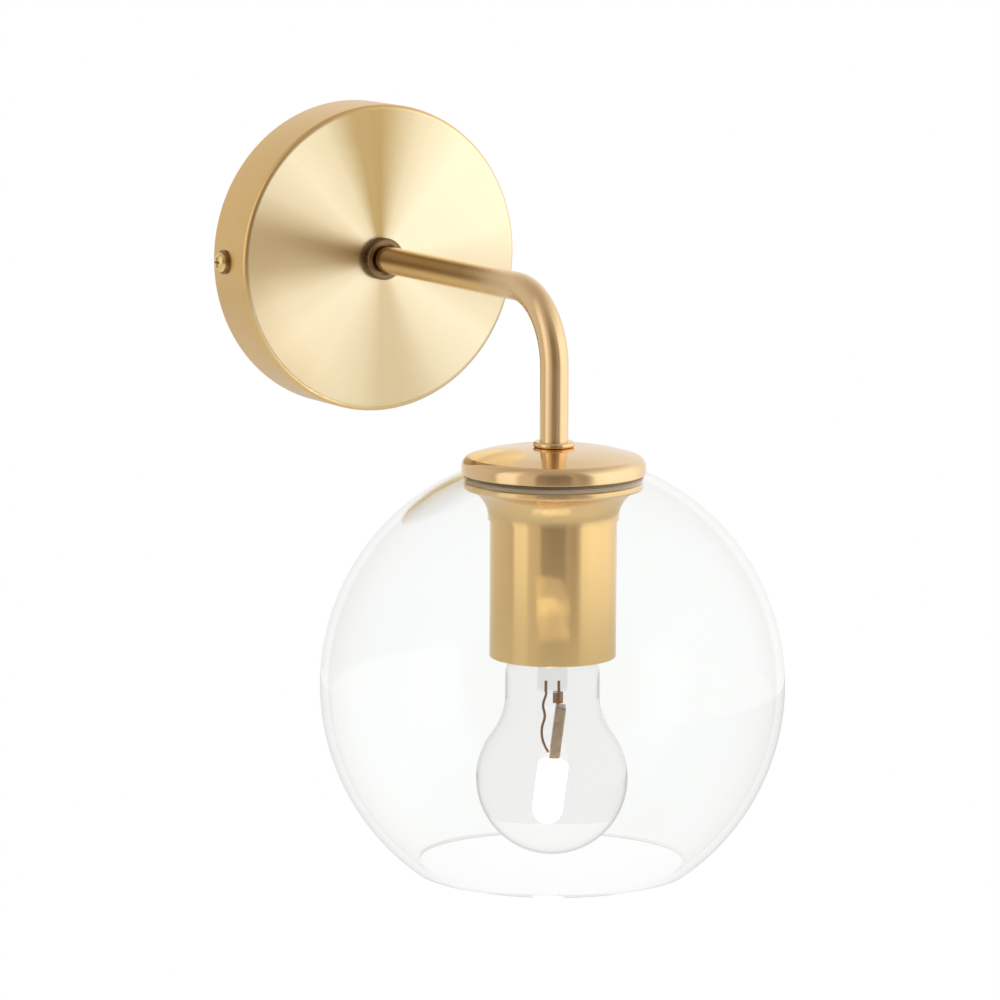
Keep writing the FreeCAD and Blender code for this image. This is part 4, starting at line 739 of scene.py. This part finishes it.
@dataclass
class ArmPieces:
    """Bent tube, with the bead under it."""

    radius: float = 5.5
    bend: float = 29.0
    reach: float = 166.0
    sides: int = 48
    bend_steps: int = 28
    bead_radius: float = 8.1
    bead_hole: float = 4.05
    bead_round: float = 1.0

    def build(self, shop: Workshop) -> None:
        """Make and dress the arm and its bead.

        Args:
            shop: the workshop that dresses them.
        """
        low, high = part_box("arm_tube")
        start = high.y
        bpy.ops.object.select_all(action="DESELECT")
        bpy.ops.mesh.primitive_circle_add(vertices=self.sides, radius=self.radius * MM,
                                          fill_type="NGON", location=(0, start, 0),
                                          rotation=(math.radians(90), 0, 0))
        piece = bpy.context.object
        piece.name = "arm_bent_tube"
        piece.data.name = piece.name
        bpy.ops.object.transform_apply(location=True, rotation=True, scale=True)
        bpy.ops.object.mode_set(mode="EDIT")
        bpy.ops.mesh.select_all(action="SELECT")
        bend_start = -(self.reach - self.bend) * MM
        level_run = (0, bend_start - start, 0)
        drop_run = (0, 0, low.z + self.bend * MM)
        bpy.ops.mesh.extrude_region_move(TRANSFORM_OT_translate={"value": level_run})
        bpy.ops.mesh.spin(steps=self.bend_steps, angle=math.radians(90),
                          center=(0, bend_start, -self.bend * MM), axis=(-1, 0, 0))
        bpy.ops.mesh.extrude_region_move(TRANSFORM_OT_translate={"value": drop_run})
        close_piece(piece)
        shop.finish_piece(piece, "arm_brass", "brushed_brass", "fixture", "arm_tube")
        self.build_bead(shop)

    def build_bead(self, shop: Workshop) -> None:
        """Make and dress the rounded bead between arm and cap.

        Args:
            shop: the workshop that dresses it.
        """
        low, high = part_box("collar_ring")
        tall = (high.z - low.z) / MM
        edge = self.bead_round
        outline = [
            (self.bead_hole, 0.0), (self.bead_radius - edge, 0.0), (self.bead_radius, edge, edge),
            (self.bead_radius, tall - edge), (self.bead_radius - edge, tall, edge),
            (self.bead_hole, tall),
        ]
        piece = turn("arm_bead", outline, on_globe_axis(low.z), steps=64, step_degrees=12)
        shop.finish_piece(piece, "cap_brass", "brushed_brass", "fixture", "collar_ring")


@dataclass
class CapPieces:
    """Shallow domed cap on the glass."""

    radius: float = 35.6
    wall: float = 1.2
    flat: float = 8.6
    dome_edge: float = 32.3
    dome_fall: float = 3.5
    corner: float = 4.1
    corner_fall: float = 7.2
    hole: float = 4.05
    seat_lift: float = 0.5
    rim_round: float = 0.25

    def build(self, shop: Workshop) -> None:
        """Make and dress the cap.

        Args:
            shop: the workshop that dresses it.
        """
        low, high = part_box("glass_cap")
        width = self.dome_edge - self.flat
        dome = (width * width + self.dome_fall * self.dome_fall) / (2 * self.dome_fall)
        inner_dome = dome - self.wall
        share = inner_dome / dome
        seat = self.radius - self.wall
        rim = (low.z - high.z) / MM
        outline = [
            (self.hole, -self.wall), (self.flat, -self.wall),
            (self.flat + width * share, -dome + (dome - self.dome_fall) * share, -inner_dome),
            (seat, -self.corner_fall, self.wall - self.corner), (seat, rim + self.seat_lift),
            (self.radius - self.rim_round, rim),
            (self.radius, rim + self.rim_round, self.rim_round), (self.radius, -self.corner_fall),
            (self.dome_edge, -self.dome_fall, self.corner), (self.flat, 0.0, dome),
            (self.hole, 0.0),
        ]
        piece = turn("cap_dome", outline, on_globe_axis(high.z), steps=128, step_degrees=4)
        shop.finish_piece(piece, "cap_brass", "brushed_brass", "fixture", "glass_cap")


@dataclass
class GlobePieces:
    """Blown glass globe, its soft seat and the dark sleeve in its neck."""

    radius: float = 90.0
    wall: float = 3.0
    hole: float = 23.4
    opening: float = 54.0
    lip: float = 1.6
    drop: float = 152.0
    sleeve_radius: float = 22.7
    sleeve_wall: float = 2.0
    sleeve_round: float = 0.4
    seat_inner: float = 31.4
    seat_outer: float = 34.0
    seat_gap: float = 0.1
    seat_round: float = 0.3
    seat_side: float = 1.4

    def build(self, shop: Workshop) -> None:
        """Make and dress the globe, seat and sleeve.

        Args:
            shop: the workshop that dresses them.
        """
        centre = on_globe_axis(-self.drop * MM)
        inner = self.radius - self.wall
        share = inner / self.radius
        low = -math.sqrt(self.radius ** 2 - self.opening ** 2)
        outline = [
            (self.hole, math.sqrt(inner ** 2 - self.hole ** 2), inner),
            (self.hole, math.sqrt(self.radius ** 2 - self.hole ** 2)),
            (self.opening, low, -self.radius), (self.opening * share, low * share, -self.lip),
        ]
        piece = turn("globe_of_glass", outline, centre, steps=180, step_degrees=2)
        shop.finish_piece(piece, "globe_glass", "clear_glass", "fixture", "glass_globe")
        self.build_seat(shop, centre, inner)
        self.build_sleeve(shop)

    def build_seat(self, shop: Workshop, centre: Vector, inner: float) -> None:
        """Make and dress the soft ring that the glass sits on.

        Args:
            shop: the workshop that dresses it.
            centre: the globe's centre, in metres.
            inner: the glass's inner radius.
        """
        low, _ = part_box("glass_gasket")
        flat = (low.z - centre.z) / MM
        edge = self.seat_round
        inner_top = math.sqrt(inner ** 2 - self.seat_inner ** 2) - self.seat_gap
        outline = [
            (self.seat_inner, flat), (self.seat_outer - edge, flat),
            (self.seat_outer, flat + edge, edge), (self.seat_outer, flat + self.seat_side),
            (self.seat_inner, inner_top),
        ]
        piece = turn("seat_of_glass", outline, centre)
        shop.finish_piece(piece, "silicone", "clear_silicone", "fixture", "glass_gasket")

    def build_sleeve(self, shop: Workshop) -> None:
        """Make and dress the sleeve that centres the glass.

        Args:
            shop: the workshop that dresses it.
        """
        low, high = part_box("centring_sleeve")
        tall = (high.z - low.z) / MM
        bore = self.sleeve_radius - self.sleeve_wall
        edge = self.sleeve_round
        outline = [
            (bore, 0.0), (self.sleeve_radius - edge, 0.0), (self.sleeve_radius, edge, edge),
            (self.sleeve_radius, tall - edge), (self.sleeve_radius - edge, tall, edge),
            (bore, tall),
        ]
        piece = turn("neck_sleeve", outline, on_globe_axis(low.z))
        shop.finish_piece(piece, "black", "black_plastic", "fixture", "centring_sleeve")


@dataclass
class GalleryPieces:
    """Flared flange, the socket cover under it and the lampholder's skirt inside that."""

    flange_radius: float = 34.4
    lip: float = 2.6
    lip_round: float = 0.9
    foot: float = 25.3
    foot_drop: float = 0.9
    turn_in: float = 1.8
    flare: float = 10.8
    wall: float = 1.2
    seat: float = 31.0
    lap: float = 24.55
    hole: float = 4.05
    cover_radius: float = 24.5
    cover_wall: float = 1.0
    cover_floor: float = 1.2
    cover_edge: float = 0.4
    skirt_radius: float = 19.5
    skirt_inner: float = 17.5
    skirt_mouth: float = 14.6
    skirt_floor: float = 1.2
    skirt_edge: float = 0.5
    mouth_edge: float = 0.2
    ledge_height: float = 26.0
    ledge_radius: float = 15.2
    ledge_depth: float = 2.0

    def build(self, shop: Workshop) -> None:
        """Make and dress the flange, cover and skirt.

        Args:
            shop: the workshop that dresses them.
        """
        self.build_flange(shop)
        self.build_cover(shop)
        self.build_skirt(shop)

    def build_flange(self, shop: Workshop) -> None:
        """Make and dress the flange, whose foot laps over the cover.

        Args:
            shop: the workshop that dresses it.
        """
        low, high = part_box("gallery_flange")
        top = (high.z - low.z) / MM
        floor = self.foot_drop
        edge = self.lip_round
        outline = [
            (self.hole, floor), (self.lap, floor), (self.lap, 0.0), (self.foot, 0.0),
            (self.foot, floor), (self.flange_radius - self.turn_in, top - self.lip, -self.flare),
            (self.flange_radius - edge, top - self.lip),
            (self.flange_radius, top - self.lip + edge, edge), (self.flange_radius, top - edge),
            (self.flange_radius - edge, top, edge), (self.seat, top),
            (self.seat, top - self.lip / 2),
            (self.foot - self.wall, floor + self.wall, self.flare + self.wall),
            (self.hole, floor + self.wall),
        ]
        piece = turn("flared_flange", outline, on_globe_axis(low.z), steps=128, step_degrees=4)
        shop.finish_piece(piece, "cover_brass", "brushed_brass", "fixture", "gallery_flange")

    def build_cover(self, shop: Workshop) -> None:
        """Make and dress the tube that covers the lampholder.

        Args:
            shop: the workshop that dresses it.
        """
        low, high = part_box("socket_cover")
        tall = (high.z - low.z) / MM
        inner = self.cover_radius - self.cover_wall
        floor = tall - self.cover_floor
        edge = self.cover_edge
        outline = [
            (self.hole, floor), (inner, floor), (inner, edge), (inner + edge, 0.0, edge),
            (self.cover_radius - edge, 0.0), (self.cover_radius, edge, edge),
            (self.cover_radius, tall - edge), (self.cover_radius - edge, tall, edge),
            (self.hole, tall),
        ]
        piece = turn("cover_tube", outline, on_globe_axis(low.z), steps=128, step_degrees=15)
        shop.finish_piece(piece, "cover_brass", "brushed_brass", "fixture", "socket_cover")

    def build_skirt(self, shop: Workshop) -> None:
        """Make and dress the lampholder's skirt, with its lip and ledge.

        Args:
            shop: the workshop that dresses it.
        """
        low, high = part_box("holder_skirt")
        tall = (high.z - low.z) / MM
        mouth_round = self.mouth_edge
        under_ledge = self.ledge_height - self.ledge_depth
        outline = [
            (self.skirt_mouth, mouth_round), (self.skirt_mouth + mouth_round, 0.0, mouth_round),
            (self.skirt_radius - self.skirt_edge, 0.0),
            (self.skirt_radius, self.skirt_edge, self.skirt_edge), (self.skirt_radius, tall),
            (self.skirt_inner, tall), (self.skirt_inner, self.ledge_height),
            (self.ledge_radius, self.ledge_height), (self.ledge_radius, under_ledge),
            (self.skirt_inner, under_ledge), (self.skirt_inner, self.skirt_floor),
            (self.skirt_mouth, self.skirt_floor),
        ]
        piece = turn("holder_barrel", outline, on_globe_axis(low.z), step_degrees=15)
        shop.finish_piece(piece, "black", "black_plastic", "fixture", "holder_skirt")


@dataclass
class LampPieces:
    """Clear bulb, stem and capsule of the screw-in lamp, measured down from its tip contact."""

    length: float = 104.2
    ball: float = 29.5
    wall: float = 0.8
    neck: float = 18.3
    hollow: float = 25.0
    collar: float = 12.5
    shell_end: float = 26.7
    skirt_height: float = 4.0
    shell_wall: float = 0.5
    collar_gap: float = 0.1
    stem_radius: float = 5.8
    stem_wall: float = 0.9
    stem_end: float = 39.7
    stem_round: float = 0.5
    stem_gap: float = 0.1
    pinch_top: float = 46.0
    pinch_height: float = 22.0
    pinch_width: float = 9.5
    pinch_thickness: float = 4.0
    pinch_bevel: float = 0.7
    capsule_radius: float = 5.8
    capsule_end: float = 93.0
    capsule_shoulder: float = 1.5
    capsule_offset: float = 3.4
    capsule_lean: float = 7.0
    capsule_turn: float = -30.0
    glow_overlap: float = 2.0
    glow_strength: float = 90.0
    tip: Vector = field(default_factory=lambda: on_globe_axis(0.0))

    def build(self, shop: Workshop) -> None:
        """Make and dress the bulb, stem and capsule.

        Args:
            shop: the workshop that dresses them.
        """
        _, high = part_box("lamp_contact")
        self.tip = on_globe_axis(high.z)
        self.build_bulb(shop)
        self.build_stem(shop)
        self.build_capsule(shop)

    def collar_top(self) -> float:
        """Height of the glass's upper end, inside the lamp's screw cap."""
        return self.skirt_height - self.shell_end - self.shell_wall

    def build_bulb(self, shop: Workshop) -> None:
        """Make and dress the clear bulb.

        Args:
            shop: the workshop that dresses it.
        """
        centre = self.ball - self.length
        reach = self.hollow + self.ball
        across = self.neck + self.hollow
        rise = math.sqrt(reach ** 2 - across ** 2)
        share = self.ball / reach
        inner_share = (self.ball - self.wall) / reach
        shoulder = self.neck - self.collar
        collar_low = -self.shell_end - self.collar_gap
        inner = self.collar - self.wall
        outline = [
            (self.collar, self.collar_top()), (self.collar, collar_low),
            (self.neck, collar_low - shoulder, -shoulder), (self.neck, centre + rise),
            (across * share, centre + rise * share, self.hollow),
            (0.0, -self.length, -self.ball), (0.0, self.wall - self.length),
            (across * inner_share, centre + rise * inner_share, self.ball - self.wall),
            (self.neck - self.wall, centre + rise, -self.hollow - self.wall),
            (self.neck - self.wall, collar_low - shoulder),
            (self.collar, collar_low - self.wall, shoulder - self.wall),
            (inner, collar_low - self.wall), (inner, self.collar_top()),
        ]
        piece = turn("bulb_of_glass", outline, self.tip, steps=128, step_degrees=3)
        shop.finish_piece(piece, "bulb_glass", "lamp_glass", "lamp", "lamp_envelope")

    def build_stem(self, shop: Workshop) -> None:
        """Make and dress the glass stem, which flares out to the bulb's collar.

        Args:
            shop: the workshop that dresses it.
        """
        top = self.collar_top()
        flare = self.collar - self.wall - self.stem_gap
        curve = flare - self.stem_radius
        tube_top = top - self.stem_wall - curve
        floor = -self.stem_end
        inner = self.stem_radius - self.stem_wall
        edge = self.stem_round
        outline = [
            (0.0, floor), (self.stem_radius - edge, floor), (self.stem_radius, floor + edge, edge),
            (self.stem_radius, tube_top), (flare, top - self.stem_wall, -curve), (flare, top),
            (inner, tube_top, curve + self.stem_wall), (inner, floor + self.stem_wall),
            (0.0, floor + self.stem_wall),
        ]
        piece = turn("stem_of_glass", outline, self.tip, steps=64)
        shop.finish_piece(piece, "bulb_glass", "lamp_glass", "lamp", "lamp_stem")

    def build_capsule(self, shop: Workshop) -> None:
        """Make and dress the capsule: domed tube and flat pinch, leaning in the bulb.

        Args:
            shop: the workshop that dresses it.
        """
        top = -self.pinch_height
        end = self.pinch_top - self.capsule_end
        radius = self.capsule_radius
        shoulder = self.capsule_shoulder
        outline = [
            (0.0, end), (radius, end + radius, radius), (radius, top - shoulder),
            (radius - shoulder, top, shoulder), (0.0, top),
        ]
        tube = turn("capsule_tube", outline, Vector((0, 0, 0)), steps=48)
        pinch = self.make_pinch()
        tube.select_set(True)
        pinch.select_set(True)
        bpy.context.view_layer.objects.active = tube
        bpy.ops.object.join()
        turned = Matrix.Rotation(math.radians(self.capsule_turn), 4, "Z")
        lean = Matrix.Rotation(math.radians(self.capsule_lean), 4, "Y")
        offset = turned @ Vector((self.capsule_offset * MM, 0, 0))
        place = self.tip + offset - Vector((0, 0, self.pinch_top * MM))
        tube.matrix_world = Matrix.Translation(place) @ turned @ lean
        bpy.ops.object.transform_apply(location=True, rotation=True, scale=True)
        tube.name = "lit_capsule"
        lit_from = self.tip.z / MM - self.pinch_top - self.pinch_height + self.glow_overlap
        glowing = LitGlass("capsule_lit", lit_from, self.glow_strength)
        shop.materials["capsule"] = glowing.material()
        shop.finish_piece(tube, "capsule", "lamp_glass", "lamp", "lamp_capsule")

    def make_pinch(self) -> bpy.types.Object:
        """Make the flat pinch above the capsule's tube.

        Returns:
            The pinch, in object mode.
        """
        bpy.ops.object.select_all(action="DESELECT")
        bpy.ops.mesh.primitive_cube_add(
            size=MM, location=(0, 0, -self.pinch_height / 2 * MM),
            scale=(self.pinch_thickness, self.pinch_width, self.pinch_height))
        pinch = bpy.context.object
        bpy.ops.object.transform_apply(location=True, rotation=True, scale=True)
        bpy.ops.object.mode_set(mode="EDIT")
        bpy.ops.mesh.select_all(action="SELECT")
        bpy.ops.mesh.bevel(offset=self.pinch_bevel * MM, segments=3)
        bpy.ops.object.mode_set(mode="OBJECT")
        return pinch


# ---------------------------------------------------------------- the studio

# the studio's walls: share of a turn, a half on the camera's side and nought opposite it, and colour
STUDIO_WALLS = [
    (0.00, (0.92, 0.90, 0.88)), (0.14, (0.74, 0.71, 0.68)), (0.24, (0.70, 0.66, 0.62)),
    (0.28, (0.62, 0.57, 0.52)), (0.30, (1.15, 1.12, 1.08)), (0.36, (1.20, 1.17, 1.12)),
    (0.38, (0.78, 0.70, 0.62)), (0.43, (0.70, 0.61, 0.52)), (0.445, (0.34, 0.28, 0.23)),
    (0.50, (0.25, 0.205, 0.16)), (0.555, (0.28, 0.235, 0.19)), (0.57, (0.48, 0.42, 0.36)),
    (0.61, (0.40, 0.34, 0.29)), (0.63, (0.62, 0.57, 0.52)), (0.65, (1.25, 1.24, 1.22)),
    (0.70, (1.38, 1.37, 1.35)), (0.82, (1.30, 1.29, 1.27)), (0.90, (1.00, 0.98, 0.96)),
    (1.00, (0.92, 0.90, 0.88)),
]
# how far the ceiling takes over from the walls, from straight down at 0 to straight up at 1
CEILING_SHARE = [(0.0, 0.0), (0.72, 0.0), (0.90, 0.6), (1.0, 1.0)]


@dataclass(frozen=True)
class Softbox:
    """A square area light that neither metal nor glass shows."""

    name: str
    place: tuple
    size: float
    power: float

    def build(self, target: Vector) -> None:
        """Hang the light.

        Args:
            target: the point that it faces.
        """
        data = bpy.data.lights.new(self.name, "AREA")
        data.size = self.size
        data.energy = self.power
        lamp = bpy.data.objects.new(self.name, data)
        lamp.visible_glossy = False
        lamp.visible_transmission = False
        bpy.context.scene.collection.objects.link(lamp)
        facing = (target - Vector(self.place)).to_track_quat("-Z", "Y").to_matrix().to_4x4()
        lamp.matrix_world = Matrix.Translation(self.place) @ facing


@dataclass
class Studio:
    """Camera, pale floor, softboxes and a soft studio as the world's light; angles in degrees."""

    focal_pixels: float = 5037.4
    picture_pixels: float = 1000.0
    sensor_mm: float = 36.0
    distance_mm: float = 1953.37
    azimuth: float = -30.536
    elevation: float = 11.164
    yaw: float = -29.919
    pitch: float = 9.071
    roll: float = 0.267
    nearest: float = 0.05
    farthest: float = 50.0
    globe_centre: tuple = (0.0, -0.166, -0.1522)
    floor_height: float = -1.3
    floor_radius: float = 6.0
    floor_colour: tuple = (0.8, 0.79, 0.77, 1.0)
    white: tuple = (1.0, 1.0, 1.0, 1.0)
    fill: tuple = (0.80, 0.80, 0.80, 1.0)
    ceiling: tuple = (0.52, 0.47, 0.42)
    ground: tuple = (0.66, 0.59, 0.52)
    ground_from: float = 0.30
    ground_rise: float = 3.0
    few_glass_faces: float = 3.5
    softboxes: tuple = (
        Softbox("right_softbox", (1.3, -1.4, 0.5), 0.7, 10.0),
        Softbox("top_softbox", (-0.3, -0.6, 1.8), 1.4, 14.0),
    )
    softbox_target: tuple = (0.0, -0.12, -0.1)

    def build(self) -> None:
        """Make the camera, the floor, the world and the softboxes."""
        self.build_camera()
        self.build_floor()
        self.build_world()
        for softbox in self.softboxes:
            softbox.build(Vector(self.softbox_target))
        bpy.context.scene.view_settings.view_transform = "Standard"

    def build_camera(self) -> None:
        """Stand the camera where the photograph was taken."""
        az, el = math.radians(self.azimuth), math.radians(self.elevation)
        yaw, pitch, roll = (math.radians(a) for a in (self.yaw, self.pitch, self.roll))
        back = Vector((math.sin(az) * math.cos(el), -math.cos(az) * math.cos(el), math.sin(el)))
        place = Vector(self.globe_centre) + back * self.distance_mm * MM
        forward = Vector((-math.sin(yaw) * math.cos(pitch), math.cos(yaw) * math.cos(pitch),
                          -math.sin(pitch)))
        right = Vector((math.cos(yaw), math.sin(yaw), 0))
        up = right.cross(forward)
        right_rolled = right * math.cos(roll) + up * math.sin(roll)
        up_rolled = up * math.cos(roll) - right * math.sin(roll)
        data = bpy.data.cameras.new("photo_camera")
        data.sensor_width = self.sensor_mm
        data.lens = self.focal_pixels / self.picture_pixels * self.sensor_mm
        data.clip_start = self.nearest
        data.clip_end = self.farthest
        camera = bpy.data.objects.new("photo_camera", data)
        bpy.context.scene.collection.objects.link(camera)
        turned = Matrix((right_rolled, up_rolled, -forward)).transposed().to_4x4()
        camera.matrix_world = Matrix.Translation(place) @ turned
        bpy.context.scene.camera = camera

    def build_floor(self) -> None:
        """Lay a pale floor far below the light, white where it is seen directly."""
        bpy.ops.object.select_all(action="DESELECT")
        bpy.ops.mesh.primitive_circle_add(vertices=64, radius=self.floor_radius,
                                          fill_type="NGON", location=(0, 0, self.floor_height))
        floor = bpy.context.object
        floor.name = "studio_floor"
        made, graph = new_material("pale_floor")
        matt = graph.node("ShaderNodeBsdfDiffuse", {}, {"Color": self.floor_colour})
        bright = graph.node("ShaderNodeEmission", {}, {"Color": self.white, "Strength": 1.0})
        graph.surface(graph.choose(self.seen_directly(graph), matt, bright))
        floor.data.materials.append(made)

    def seen_directly(self, graph: Graph) -> Link:
        """Find the rays that show the plain white surround.

        Args:
            graph: the graph of the floor's or the world's shader.

        Returns:
            One for a ray from the eye, straight or through glass alone, and for a ray that a
            mirror or a matt surface sent on through few glass faces; nought for the others.
        """
        bounced = (graph.ray("Glossy Depth") + graph.ray("Diffuse Depth")).clamp()
        few_faces = (self.few_glass_faces - graph.ray("Transmission Depth")).clamp()
        through = graph.ray("Is Transmission Ray") * (1.0 - bounced).maximum(few_faces)
        return (graph.ray("Is Camera Ray") + through).clamp()

    def build_world(self) -> None:
        """Make a white surround where it is seen, and a studio where metal or glass shows it."""
        world = bpy.data.worlds.new("studio")
        bpy.context.scene.world = world
        world.use_nodes = True
        graph = Graph(world.node_tree)
        x, y, z = graph.axes(graph.node("ShaderNodeTexCoord", {}, {}, "Generated"))
        bearing = (x.angle_to(y * -1.0) - math.radians(self.azimuth)).wrap(math.pi, -math.pi)
        walls = graph.ramp(bearing / FULL_TURN + 0.5, STUDIO_WALLS)
        room = graph.blend(graph.grey_ramp(z * 0.5 + 0.5, CEILING_SHARE), walls, self.ceiling)
        below = ((z * -1.0 - self.ground_from) * self.ground_rise).clamp()
        room = graph.blend(below, room, self.ground)
        studio, surround, fill = (
            graph.node("ShaderNodeBackground", {}, {"Color": colour, "Strength": 1.0})
            for colour in (room, self.white, self.fill))
        mirrored = (graph.ray("Is Glossy Ray") + graph.ray("Is Transmission Ray")).clamp()
        lighting = graph.choose(mirrored, fill, studio)
        shown = graph.choose(self.seen_directly(graph), lighting, surround)
        graph.node("ShaderNodeOutputWorld", {}, {"Surface": shown}, None)


def main(nodes: dict[str, bpy.types.Object]) -> None:
    """Build the studio and every sub-assembly.

    Args:
        nodes: the frame's nodes by name.
    """
    logging.basicConfig(level=logging.INFO)
    Studio().build()
    shop = Workshop(nodes)
    shop.dress_frame()
    for assembly in (CanopyPieces(), ArmPieces(), CapPieces(), GlobePieces(), GalleryPieces(),
                     LampPieces()):
        assembly.build(shop)


if __name__ == "__main__":
    main(frame["nodes"])
